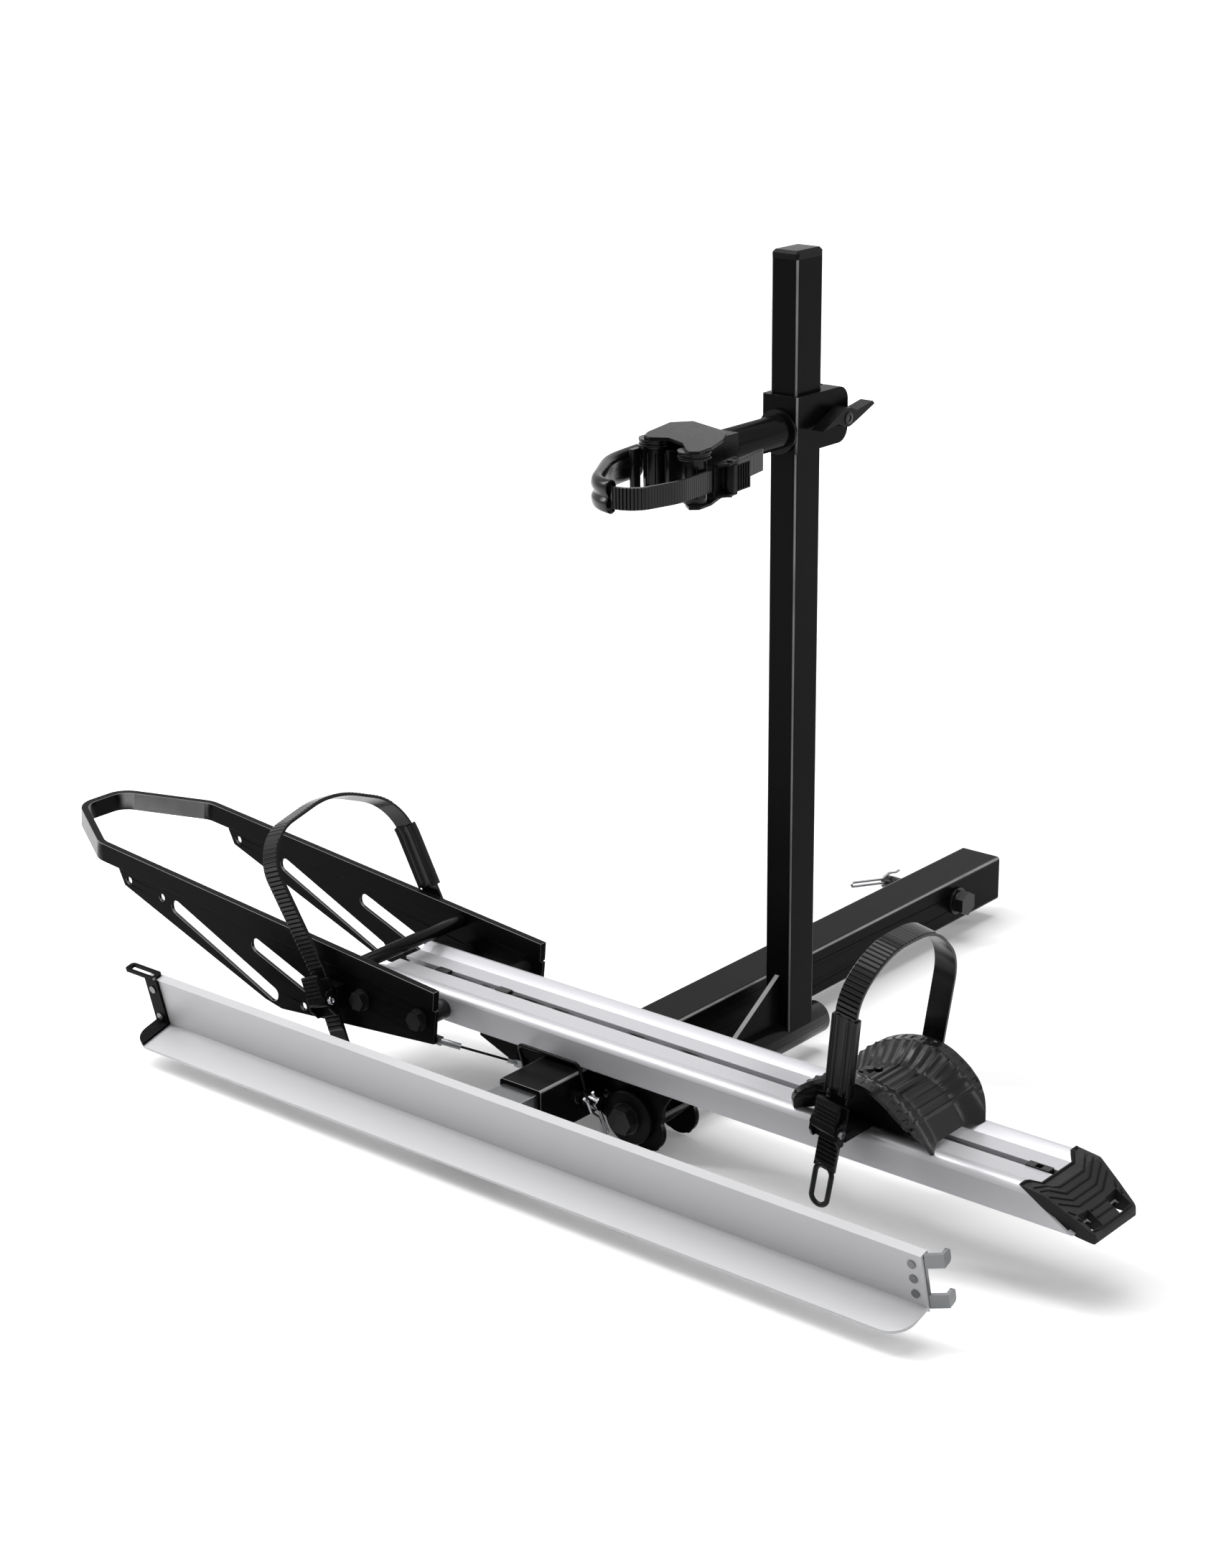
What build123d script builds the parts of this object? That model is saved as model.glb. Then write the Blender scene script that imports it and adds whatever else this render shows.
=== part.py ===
from build123d import *
import math
import os

# Hitch rack for one e-bike, with a folding mast, a frame clamp, a sliding rear wheel tray,
# a front wheel cradle and a loading ramp carried in front of the rail.
# Origin: the axis of the hitch pin, on the centre line of the hitch tube.
# X runs along the wheel rail towards the ramp end, Y along the hitch tube towards the vehicle, Z up.
# All sizes are in millimetres.

# General fits
RUN = 0.05            # running clearance of a shaft in its hole
GAP = 0.3             # clearance between pieces that slide or swing past each other
PLATE = 5.0           # thickness of the welded steel plates

# Hitch tube
TUBE = 50.8           # outside width and height
TUBE_WALL = 4.8
TUBE_CORNER = 3.5     # outside corner radius
TUBE_FRONT = -695.0   # rear end, away from the vehicle
TUBE_BACK = 87.0      # end that goes into the receiver
STUB_REAR = -590.0    # inner end of the stub tube
STUB_FRONT = -738.0   # outer end of the stub tube
STUB_WALL = 4.0

# Hitch bolt and its clip
HITCH_R = 7.9
HITCH_HEAD_FLATS = 24.0
HITCH_HEAD_H = 10.0
HITCH_WASHER_R = 15.0
HITCH_WASHER_H = 3.0
HITCH_TAIL = 44.0     # length past the far face of the tube
HITCH_CLIP_L = 78.0
HITCH_CLIP_TURN = -103.0
WIRE = 1.5            # radius of the clip wires
CLIP_INSET = 6.0      # distance of a clip's hole from its pin's end
CLIP_TIP = 13.0       # how far a clip's straight leg reaches past the pin's axis

# Locking pin of the stub tube
LOCK_Y = -639.0
LOCK_R = 7.0
LOCK_OUT = 26.0       # length past the near face of the tube
LOCK_HEAD = 20.0      # length past the far face of the tube
BAIL_RISE = 41.5      # height of the bail over the pin axis
BAIL_LEAN = 17.0      # how far the bail leans forward at rest, degrees
BAIL_INSET = 17.0     # distance of the bail's near leg from the pin's end
BAIL_WIRE = 1.9
EYE_R = 10.0
EYE_T = 5.0
LOCK_CLIP_L = 42.0
LOCK_CLIP_TURN = 24.0

# Rail
RAIL_Y = -593.0       # centre line
RAIL_W = 92.0
RAIL_H = 32.0
RAIL_X0 = -245.0
RAIL_X1 = 505.0
RAIL_WALL = 3.0
RAIL_LIP = 5.0        # how far the trough lies below the rounded edges
RAIL_LIP_W = 15.0     # width of each rounded edge
SLOT_W = 9.0
SLOT_ROOM_W = 20.0
SLOT_ROOM_H = 9.0
SLOT_CHANNEL_WALL = 3.0
SLOT_PLUG_XS = (-190.0, -110.0)
SLOT_PLUG_L = 16.0
SLOT_NUT_BACK = 8.0   # distance of the nut in the slot from the rail's end
SLOT_NUT_L = 24.0
SLOT_NUT_W = 18.0
SLOT_NUT_H = 5.0

# Bracket under the rail
WEB_T = 4.0
WEB_X0 = -117.0
WEB_X1 = 124.0
NEAR_PLATE_Y = -621.0  # front face of the near bracket plate
BRACKET_SPAN = 49.0    # from one bracket plate's front face to the other's
LOBE_X = 90.0
LOBE_Z = -22.0
LOBE_R = 21.0
SPACER_X = 100.0
SPACER_Z = -11.0
SPACER_R = 5.5
LOCK_HOLE_X = 44.0
LOCK_HOLE_Z = 1.0
LOCK_HOLE_R = 5.0
RAIL_BOLT_R = 4.0
RAIL_BOLT_XS = (-85.0, -50.0, 45.0, 108.0)

# Mast pivot
PIVOT_X = 73.4
PIVOT_Z = -12.0
PIVOT_R = 8.0
PIVOT_TUBE_R = 17.0
PIVOT_TUBE_WALL = 4.0
PIVOT_TUBE_BACK = -328.0
PIVOT_DISC_R = 27.0
PIVOT_DISC_H = 8.0
PIVOT_HEAD_FLATS = 24.0
PIVOT_HEAD_H = 9.0
PLUG_LEN = 45.0

# Mast
MAST_X = 30.0         # width along the rail
MAST_Y = 40.0         # depth along the hitch tube
MAST_WALL = 2.5
MAST_CORNER = 3.0
MAST_FRONT = -394.5
MAST_TOP = 757.0
CAP_H = 8.0
CAP_CHAMFER = 2.8
GUSSET_TOP = 55.0
GUSSET_REACH = 79.0

# Collar, arm and wing knob
COLLAR_Z = 606.5      # middle of the collar
COLLAR_H = 53.0
COLLAR_WALL = 5.5
CLAMP_Y = -341.0      # axis of the clamp bolt
CLAMP_R = 4.0
LUG_BACK = -320.0     # rear of the two clamping lugs behind the mast
LUG_CORNER = 14.0
NUT_H = 6.0
CLAMP_SLIT = 5.0
ARM_DROP = 7.0        # how far the arm's axis lies below the collar's middle
ARM_R = 16.0
ARM_WALL = 3.0
ARM_FRONT = -512.0
ARM_RING_R = 21.0
ARM_RING_H = 4.0
KNOB_STEM_R = 8.0
KNOB_STEM_H = 1.5
KNOB_T = 14.0
# The knob's two bent wings, in Y and Z from its axis
KNOB_OUTLINE = ((-40.0, -6.0), (-5.0, 10.0), (3.5, 9.5), (13.5, 5.5), (39.0, 10.0), (42.0, 7.0),
                (14.0, -4.0), (2.5, -8.0), (-5.5, -7.5), (-15.0, -3.0))

# Frame clamp head
HEAD_OVER = 20.5      # how far the head reaches over and under the arm's axis
HEAD_UNDER = 31.5
HEAD_PLATE = 3.0
HEAD_RUBBER = 2.4
HEAD_OUTLINE = ((27.0, -503.0), (41.0, -486.0), (83.0, -500.0), (97.0, -510.0), (110.0, -532.0),
                (121.0, -562.0), (123.0, -582.0), (116.0, -588.0), (107.0, -581.0), (90.0, -564.0),
                (67.0, -555.0), (52.0, -564.0), (43.0, -560.0), (36.0, -546.0))
HUB_X0 = 52.0         # sides of the block that turns on the arm
HUB_X1 = 95.0
HUB_FRONT = -535.0
HUB_BACK = -490.0
POST_R = 11.0
POSTS = ((48.0, -550.0), (108.0, -570.0))
FLUTES = 8
FLUTE_R = 1.6
PAD_T = 5.0
PADS = (((41.0, -576.0), (40.0, -563.0)), ((69.0, -561.0), (84.0, -538.0)))

# Frame strap, seen from above
FRAME_STRAP_DROP = 8.5     # how far the strap's middle lies below the arm's axis
FRAME_STRAP_W = 20.0
FRAME_STRAP = ((52.0, -497.0), (18.0, -520.0), (27.0, -590.0), (70.0, -660.0), (114.0, -668.0),
               (127.0, -615.0), (119.0, -530.0), (108.0, -472.0))
FRAME_STRAP_RADII = (22.0, 90.0, 42.0, 24.0, 60.0, 80.0)
FRAME_SLEEVE_X = 92.0      # the sleeve covers the strap as far as here
FRAME_SLEEVE_Y = -541.0
FRAME_BUCKLE_AT = 0.81     # place of the buckle on the strap's right side

# Straps and buckles
STRAP_W = 22.0
STRAP_T = 2.6
SLEEVE_W = 25.0
SLEEVE_T = 9.0
FRAME_SLEEVE_W = 30.0
FRAME_SLEEVE_T = 12.0
BUCKLE_L = 38.0
BUCKLE_W = 30.0
BUCKLE_T = 12.0
BUCKLE_WALL = 2.5
LEVER_T = 4.0
LEVER_L = 26.0
LEVER_X = -3.0        # the lever's hinge, from the buckle's middle
LEVER_BARREL_R = 5.0
BUCKLE_PIN_R = 2.5
ROOM = 100.0          # reach of the boxes that pick out one stretch of a strap

# Front wheel cradle
CRADLE_HALF = 82.0    # from the rail's centre line to each bar's outer face
BAR_T = 8.0
BAR_H = 20.0
BAR_X1 = -126.0
BAR_Z1 = 76.7         # top of the bar at its right end
BAR_TILT = 5.26       # rise towards the cradle's nose, degrees
BAR_INSET = 2.0       # how far the side plates stand in from the bar's outer face
NOSE_X = -692.0
NOSE_HALF = 28.0
NOSE_START = -604.0
NOSE_R = 26.0
SIDE_T = 4.0
SIDE_X0 = -578.0      # left end of the side plates
SIDE_OUTLINE = ((-569.0, 80.0), (-363.0, 6.0), (-340.0, 1.5), (-130.0, 21.0))
SIDE_SLOTS = (((-490.0, 74.0), (-352.0, 15.0)), ((-372.0, 62.0), (-296.0, 34.0)))
SIDE_SLOT_W = 15.0
SIDE_HOLES = ((-562.0, 87.0), (-512.0, 80.0), (-308.0, 13.0))
SIDE_HOLE_R = 4.0
SIDE_BOLT_XS = (-225.0, -148.0)
SIDE_BOLT_Z = 43.0
SIDE_BOLT_R = 5.0
SIDE_SPACER_R = 10.0
SIDE_FLATS = 17.0
SIDE_HEAD_H = 7.0
SIDE_NUT_H = 8.0
SIDE_WASHER_R = 11.0
SIDE_WASHER_H = 2.0
CROSS_X = -233.0
CROSS_Z = 76.0
CROSS_R = 7.0
CROSS_WALL = 2.0

# Cable
CABLE_R = 1.2
CABLE_END_R = 3.2     # threaded end fitting
CABLE_END_L = 20.0
FERRULE_R = 2.6
FERRULE_L = 10.0
CABLE_X0 = -126.0
CABLE_X1 = -66.0
CABLE_Z0 = 24.0
CABLE_Z1 = 3.0
TAB_HALF = 4.0        # half height of the two cable tabs

# Front strap, in its own leaning plane: distance across the rail, then distance up
FRONT_STRAP_X = -262.0
FRONT_STRAP_Z = 40.0
FRONT_STRAP_TILT = 22.0
STRAP_NEAR_OUT = 10.0  # how far the strap's near side stands off the cradle's bar
STRAP_FAR_OUT = 8.0
FRONT_STRAP_RADII = (60.0, 40.0, 42.0, 110.0, 60.0)
FRONT_STRAP_BEND = 25.0    # height at which the near side starts to lean out
FRONT_STRAP_TAIL = 45.0
FRONT_SLEEVE = (62.0, 130.0)
STRAP_BLOCK_HALF = 14.0    # half length of the block behind the front buckle
STRAP_BLOCK_LOW = -10.0    # the block's height span, from the buckle's middle
STRAP_BLOCK_HIGH = 14.0
ANCHOR_LOW = -2.0     # the far anchor's height span
ANCHOR_HIGH = 20.0
ANCHOR_RIGHT = 8.0

# Rear wheel tray
TRAY_X = 346.0
TRAY_SHIFT = -3.0     # the tray's middle, forward of the rail's centre line
TRAY_R = 72.0         # radius of the arch at the bottom of the trough
TRAY_HALF_ANGLE = 66.0
TRAY_HALF_W = 60.0
TRAY_END_R = 34.0      # rounding of the tray's corners, seen from above
TRAY_DEPTH = 15.0
TRAY_T = 4.0
TRAY_BASE_L = 62.0
TRAY_BASE_W = 62.0
TRAY_ARM_W = 30.0
TRAY_ARM_T = 8.0
TRAY_BOLT_R = 4.0
TRAY_BOLT_EDGE = 6.0  # the clamping bolt's distance from the base's end
TRAY_SLOT_BACK = 20.0 # the shell's slot, to each side of the bolt
TRAY_SLOT_FRONT = 14.0
TRAY_NUT_L = 24.0
TRAY_NUT_H = 5.0
TRAY_RISE = 38.0      # height of the arch's trough over the rail

# Rear strap, in its own leaning plane
REAR_STRAP_BACK = 13.0     # how far behind the tray's middle the plane meets the rail's top
REAR_STRAP_TILT = -10.0
REAR_NEAR_OUT = 15.0  # how far the strap stands off the tray's near edge
REAR_FAR_OUT = 12.0
REAR_STRAP_RADII = (180.0, 38.0, 68.0, 68.0, 58.0)
REAR_STRAP_BEND = 50.0
REAR_STRAP_TAIL = 30.0
REAR_SLEEVE = (46.0, 126.0)
REAR_BUCKLE_UP = 15.0      # middle of the rear buckle, over the tray's arm
RING_L = 46.0

# Ramp: a wall that leans outwards and a flange that carries the tyre's side
RAMP_X0 = -440.0
RAMP_X1 = 490.0
RAMP_FOLD_Y = -745.0
RAMP_FOLD_Z = -14.0
RAMP_LEAN = 13.5
RAMP_WALL_H = 56.0
RAMP_FLANGE = 42.0
RAMP_FLANGE_DROP = 16.0
RAMP_CORNER = 22.0
RAMP_LIP = 7.0
RAMP_T = 3.0
BRACKET_T = 3.0
BRACKET_W = 17.0      # width of the bracket at the ramp's left end
TAB_OUT = 30.0        # reach of the slotted tab past the ramp's end
TAB_IN = 14.0
TAB_W = 13.0
TAB_SLOT_W = 6.0
TAB_RIM = 5.0         # metal left at each end of the tab's slot
HOOK_SPACING = 42.0
HOOK_W = 14.0
HOOK_T = 3.0
HOOK_L = 16.0
HOOK_TIP = 11.0       # length of the hooks' turned ends
HOOK_TIP_CORNER = 4.0
HOOK_LEAN = 30.0      # how far the hooks lean towards the vehicle, degrees
HOOK_BEND = 65.0      # how far their ends turn on from there, degrees
HOOK_PLATE_L = 20.0   # length of the plate behind the ramp's wall
CARRIER_T = 5.0
CARRIER_HALF = 60.0
CARRIER_TOP = 20.0
CARRIER_BOTTOM = -23.0
HANGER_X = 45.0
HANGER_W = 18.0
HANGER_T = 3.0
HANGER_DROP = 18.0
RIVET_R = 2.5
RIVET_HEAD = 1.2
RIVET_HEAD_R = 4.0

# End cap over the mitred end of the rail
RAIL_MITRE = 52.0     # how far the sloping cut runs out from the rail's top to its underside
CAP_SHOULDER_OUT = 24.0    # the cap's shoulder, past the cut's upper edge
CAP_SHOULDER_DROP = 3.0
CAP_DIP = 3.3         # depth of the dip down the middle of the cap's sloping face
CAP_DIP_HALF = 19.0   # half width of the dip's floor
CAP_DIP_SIDE = 21.0   # width of each of its sides
CAP_TIP_OUT = 15.0    # the cap's tip, past the cut's lower edge
CAP_TIP_HALF = 33.0   # half width at the tip
CAP_TIP_DROP = 7.4    # how far the tip lies below the rail's underside
CAP_TIP_H = 10.0
CAP_CORNER = 9.0
SOCKET_OUT = 3.5      # middle of the sockets for the ramp's hooks, past the cut's lower edge
SOCKET_L = 15.0
SOCKET_W = 17.5

# Derived places
TUBE_HALF = TUBE / 2
RAIL_BOTTOM = TUBE_HALF + WEB_T
RAIL_TOP = RAIL_BOTTOM + RAIL_H
RAIL_TOE = RAIL_X1 + RAIL_MITRE
CAP_SHOULDER = RAIL_X1 + CAP_SHOULDER_OUT
CAP_TIP = RAIL_TOE + CAP_TIP_OUT
CAP_TIP_Z = RAIL_BOTTOM - CAP_TIP_DROP
SOCKET_X = RAIL_TOE + SOCKET_OUT
RAIL_NEAR = RAIL_Y - RAIL_W / 2
RAIL_FAR = RAIL_Y + RAIL_W / 2
FAR_PLATE_Y = NEAR_PLATE_Y + BRACKET_SPAN
ARM_Z = COLLAR_Z - ARM_DROP
HEAD_TOP = ARM_Z + HEAD_OVER
HEAD_BOTTOM = ARM_Z - HEAD_UNDER
FRAME_STRAP_Z = ARM_Z - FRAME_STRAP_DROP
PIVOT_TUBE_FRONT = FAR_PLATE_Y + PLATE + GAP
MAST_MID_Y = MAST_FRONT + MAST_Y / 2
TRAY_AXIS_Z = RAIL_TOP + TRAY_RISE - TRAY_R
SLOT_FLOOR = RAIL_TOP - RAIL_LIP - RAIL_WALL - SLOT_ROOM_H
FRONT_STRAP_NEAR = RAIL_Y - CRADLE_HALF - STRAP_NEAR_OUT
FRONT_STRAP_FAR = RAIL_Y + CRADLE_HALF + STRAP_FAR_OUT
FRONT_STRAP_LOOP = ((FRONT_STRAP_NEAR - 18.0, 136.0), (FRONT_STRAP_NEAR - 3.0, 170.0),
                    (RAIL_Y - 11.0, 188.0), (FRONT_STRAP_FAR - 16.0, 155.0))
REAR_STRAP_NEAR = RAIL_Y - TRAY_HALF_W - REAR_NEAR_OUT
REAR_STRAP_FAR = RAIL_Y + TRAY_HALF_W + REAR_FAR_OUT
REAR_STRAP_LOOP = ((REAR_STRAP_NEAR - 12.0, 146.0), (RAIL_Y - 52.0, 180.0), (RAIL_Y + 18.0, 180.0),
                   (REAR_STRAP_FAR - 5.0, 136.0))
REAR_STRAP_X = TRAY_X - REAR_STRAP_BACK
TRAY_BOLT_BACK = TRAY_BASE_L / 2 - TRAY_BOLT_EDGE

PARTS = {}


def put(name, *solids):
    """Keep the solids of one node, each as a solid of its own."""
    kept = []
    for shape in solids:
        kept.extend(shape.solids())
    PARTS[name] = Compound(children=kept) if len(kept) > 1 else kept[0]
    PARTS[name].label = name


def block(x0, x1, y0, y1, z0, z1):
    """A box between two corners."""
    return Pos((x0 + x1) / 2, (y0 + y1) / 2, (z0 + z1) / 2) * Box(x1 - x0, y1 - y0, z1 - z0)


def rod(axis, start, end, a, b, r):
    """A cylinder along X, Y or Z; a and b are its two other coordinates, in order."""
    half = (start + end) / 2
    body = Cylinder(r, end - start)
    if axis == "x":
        return Pos(half, a, b) * Rot(0, 90, 0) * body
    if axis == "y":
        return Pos(a, half, b) * Rot(90, 0, 0) * body
    return Pos(a, b, half) * body


def hexagon(axis, start, end, a, b, flats):
    """A hexagonal bar, for bolt heads and nuts."""
    body = extrude(RegularPolygon(flats / 2, 6, major_radius=False), (end - start) / 2, both=True)
    half = (start + end) / 2
    if axis == "x":
        return Pos(half, a, b) * Rot(0, 90, 0) * body
    if axis == "y":
        return Pos(a, half, b) * Rot(90, 0, 0) * body
    return Pos(a, b, half) * body


def prism_xz(points, y0, y1):
    """A plate whose outline is given in X and Z."""
    face = make_face(Polyline(*[(x, y0, z) for x, z in points], close=True))
    return extrude(face, y1 - y0, dir=(0, 1, 0))


def prism_yz(points, x0, x1):
    """A plate whose outline is given in Y and Z."""
    face = make_face(Polyline(*[(x0, y, z) for y, z in points], close=True))
    return extrude(face, x1 - x0, dir=(1, 0, 0))


def prism_xy(points, z0, z1):
    """A plate whose outline is given in X and Y."""
    face = make_face(Polyline(*[(x, y, z0) for x, y in points], close=True))
    return extrude(face, z1 - z0, dir=(0, 0, 1))


def square_tube(width, depth, corner, wall, length):
    """An upright hollow tube centred on the origin, with rounded corners."""
    outer = RectangleRounded(width, depth, corner)
    inner = RectangleRounded(width - 2 * wall, depth - 2 * wall, max(corner - wall, 0.6))
    return extrude(outer - inner, length / 2, both=True)


def round_rod(points, radii, r):
    """A bent round bar through the points, with one bend radius for each corner."""
    path = FilletPolyline(*points, radius=radii)
    start = path.edges()[0]
    section = Plane(origin=start @ 0, z_dir=start % 0) * Circle(r)
    return sweep(section, path=path)


def band(points, radii, thick, width, plane):
    """A flat strap standing on edge, bent along a path drawn in the plane."""
    path = FilletPolyline(*points, radius=radii) if radii else Polyline(*points)
    return extrude(plane * trace(path, line_width=thick), width / 2, both=True)


def hitch_tube():
    tube = square_tube(TUBE, TUBE, TUBE_CORNER, TUBE_WALL, TUBE_BACK - TUBE_FRONT)
    tube = Pos(0, (TUBE_FRONT + TUBE_BACK) / 2, 0) * Rot(90, 0, 0) * tube
    tube -= rod("x", -TUBE, TUBE, 0, 0, HITCH_R + RUN)
    tube -= rod("x", -TUBE, TUBE, LOCK_Y, 0, LOCK_R + RUN)
    put("hitch_tube", tube)


def stub_tube():
    size = TUBE - 2 * TUBE_WALL
    tube = square_tube(size, size, 0.6, STUB_WALL, STUB_REAR - STUB_FRONT)
    tube = Pos(0, (STUB_FRONT + STUB_REAR) / 2, 0) * Rot(90, 0, 0) * tube
    tube -= rod("x", -TUBE, TUBE, LOCK_Y, 0, LOCK_R + RUN)
    put("stub_tube", tube)


def clip(x, y, tip, bottom, bow):
    """A hairpin clip: a straight leg through the pin, and a sprung leg bowed round it."""
    width = 2.0 * WIRE + 1.6
    points = [(x, y, tip), (x, y, bottom + 4), (x, y - width / 2, bottom), (x, y - width, bottom + 4),
              (x, y - width, -bow - 8), (x, y - bow - 3, -4), (x, y - bow - 3, tip - 3),
              (x, y - bow - 5, tip + 3)]
    return round_rod(points, [1.8, 1.8, 1.4, 5.0, 5.0, 4.0], WIRE)


def hitch_bolt():
    face = TUBE_HALF + RUN
    head0 = face + 2 * HITCH_WASHER_H
    tail = -TUBE_HALF - HITCH_TAIL
    bolt = rod("x", tail, head0, 0, 0, HITCH_R)
    bolt += hexagon("x", head0, head0 + HITCH_HEAD_H, 0, 0, HITCH_HEAD_FLATS)
    clip_x = tail + CLIP_INSET
    bolt -= Pos(clip_x, 0, 0) * Rot(HITCH_CLIP_TURN, 0, 0) * rod("z", -HITCH_R - 1, HITCH_R + 1, 0, 0,
                                                                 WIRE + RUN)
    washers = []
    for index in range(2):
        x0 = face + index * HITCH_WASHER_H
        r = HITCH_WASHER_R - 3 * index
        washers.append(rod("x", x0, x0 + HITCH_WASHER_H, 0, 0, r) - rod("x", x0 - 1, x0 + 5, 0, 0, HITCH_R))
    put("hitch_bolt", bolt, *washers)
    put("hitch_clip", Pos(clip_x, 0, 0) * Rot(HITCH_CLIP_TURN, 0, 0) * clip(0, 0, CLIP_TIP, -HITCH_CLIP_L,
                                                                            HITCH_R))


def lock_pin():
    x0 = -TUBE_HALF - LOCK_HEAD
    x1 = TUBE_HALF + LOCK_OUT
    clip_x = x1 - CLIP_INSET
    hole = Rot(LOCK_CLIP_TURN, 0, 0) * rod("z", -LOCK_R - 1, LOCK_R + 1, 0, 0, WIRE + RUN)
    put("lock_pin", rod("x", x0, x1, LOCK_Y, 0, LOCK_R) - Pos(clip_x, LOCK_Y, 0) * hole)
    near = x1 - BAIL_INSET
    far = x0 + EYE_T
    bail = round_rod([(near, 0, 0), (near, 0, BAIL_RISE), (far, 0, BAIL_RISE), (far, 0, 0)], [6.0, 6.0],
                     BAIL_WIRE)
    for x in (near, far):
        bail += rod("x", x - EYE_T / 2, x + EYE_T / 2, 0, 0, EYE_R)
    bail -= rod("x", x0 - 1, x1, 0, 0, LOCK_R + RUN)
    put("pin_bail", Pos(0, LOCK_Y, 0) * Rot(BAIL_LEAN, 0, 0) * bail)
    put("pin_clip", Pos(clip_x, LOCK_Y, 0) * Rot(LOCK_CLIP_TURN, 0, 0) * clip(0, 0, CLIP_TIP, -LOCK_CLIP_L,
                                                                              LOCK_R))


def bracket():
    web = block(WEB_X0, WEB_X1, NEAR_PLATE_Y, FAR_PLATE_Y + PLATE, TUBE_HALF, RAIL_BOTTOM)
    fasteners = []
    for x in RAIL_BOLT_XS:
        web -= rod("z", TUBE_HALF - 1, RAIL_BOTTOM + 1, x, RAIL_Y, RAIL_BOLT_R + RUN)
        shank = rod("z", TUBE_HALF - 9, SLOT_FLOOR, x, RAIL_Y, RAIL_BOLT_R)
        fasteners.append(shank + block(x - 8, x + 8, RAIL_Y - 7, RAIL_Y + 7, SLOT_FLOOR, SLOT_FLOOR + 4))
        nut = hexagon("z", TUBE_HALF - 7, TUBE_HALF, x, RAIL_Y, 13.0)
        fasteners.append(nut - rod("z", 0, 30, x, RAIL_Y, RAIL_BOLT_R))
    put("bracket_web", web)
    put("rail_fasteners", *fasteners)
    wing = [(WEB_X0, TUBE_HALF), (WEB_X0, 17.0), (-62.0, -4.0), (-TUBE_HALF, -17.0),
            (-TUBE_HALF, TUBE_HALF)]
    cheek = [(TUBE_HALF, TUBE_HALF), (TUBE_HALF, -14.0), (56.0, -30.0),
             (LOBE_X - 12, LOBE_Z - LOBE_R + 2.5),
             (LOBE_X + 12, LOBE_Z - LOBE_R + 2.5), (109.0, -8.0), (111.0, 6.0), (WEB_X1, TUBE_HALF)]
    plates = []
    for y in (NEAR_PLATE_Y, FAR_PLATE_Y):
        plates.append(prism_xz(wing, y, y + PLATE))
        plate = prism_xz(cheek, y, y + PLATE) + rod("y", y, y + PLATE, LOBE_X, LOBE_Z, LOBE_R)
        plate -= rod("y", y - 1, y + PLATE + 1, PIVOT_X, PIVOT_Z, PIVOT_R + RUN)
        plate -= rod("y", y - 1, y + PLATE + 1, LOCK_HOLE_X, LOCK_HOLE_Z, LOCK_HOLE_R)
        plates.append(plate)
    spacer = rod("y", NEAR_PLATE_Y + PLATE, FAR_PLATE_Y, SPACER_X, SPACER_Z, SPACER_R)
    put("bracket_plates", *plates, spacer)


def rail_section():
    """The rail's cross-section in Y and Z, as a face at x = 0."""
    half = RAIL_W / 2
    y_mid = RAIL_Y
    z0 = RAIL_BOTTOM
    z1 = RAIL_TOP
    trough = z1 - RAIL_LIP
    lip = RAIL_LIP_W
    edges = [
        Line((0, y_mid - half, z0 + 2), (0, y_mid - half, z1 - 7)),
        ThreePointArc((0, y_mid - half, z1 - 7), (0, y_mid - half + 3, z1 - 1.5),
                      (0, y_mid - half + 8, z1)),
        ThreePointArc((0, y_mid - half + 8, z1), (0, y_mid - half + lip - 1, z1 - 1.6),
                      (0, y_mid - half + lip + 6, trough)),
        Line((0, y_mid - half + lip + 6, trough), (0, y_mid + half - lip - 6, trough)),
        ThreePointArc((0, y_mid + half - lip - 6, trough), (0, y_mid + half - lip + 1, z1 - 1.6),
                      (0, y_mid + half - 8, z1)),
        ThreePointArc((0, y_mid + half - 8, z1), (0, y_mid + half - 3, z1 - 1.5),
                      (0, y_mid + half, z1 - 7)),
        Line((0, y_mid + half, z1 - 7), (0, y_mid + half, z0 + 2)),
        Line((0, y_mid + half, z0 + 2), (0, y_mid + half - 2, z0)),
        Line((0, y_mid + half - 2, z0), (0, y_mid - half + 2, z0)),
        Line((0, y_mid - half + 2, z0), (0, y_mid - half, z0 + 2)),
    ]
    return make_face(Curve() + edges)


def beyond_mitre():
    """All that lies past the sloping cut at the rail's end."""
    run = RAIL_TOE - RAIL_X1
    slope = RAIL_H / run
    reach = 6.0
    return prism_xz([(RAIL_X1 - reach, RAIL_TOP + reach * slope),
                     (RAIL_TOE + reach, RAIL_BOTTOM - reach * slope),
                     (RAIL_TOE + reach, RAIL_TOP + reach * slope)], RAIL_NEAR - 10, RAIL_FAR + 10)


def sockets():
    """The room of the two sockets that the ramp's hooks drop into, against their inner sides."""
    middle = (HOOK_SPACING - HOOK_W + SOCKET_W) / 2 - GAP
    return [block(SOCKET_X - SOCKET_L / 2, SOCKET_X + SOCKET_L / 2, y - SOCKET_W / 2, y + SOCKET_W / 2,
                  CAP_TIP_Z - 5, RAIL_TOP + 5) for y in (RAIL_Y - middle, RAIL_Y + middle)]


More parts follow.
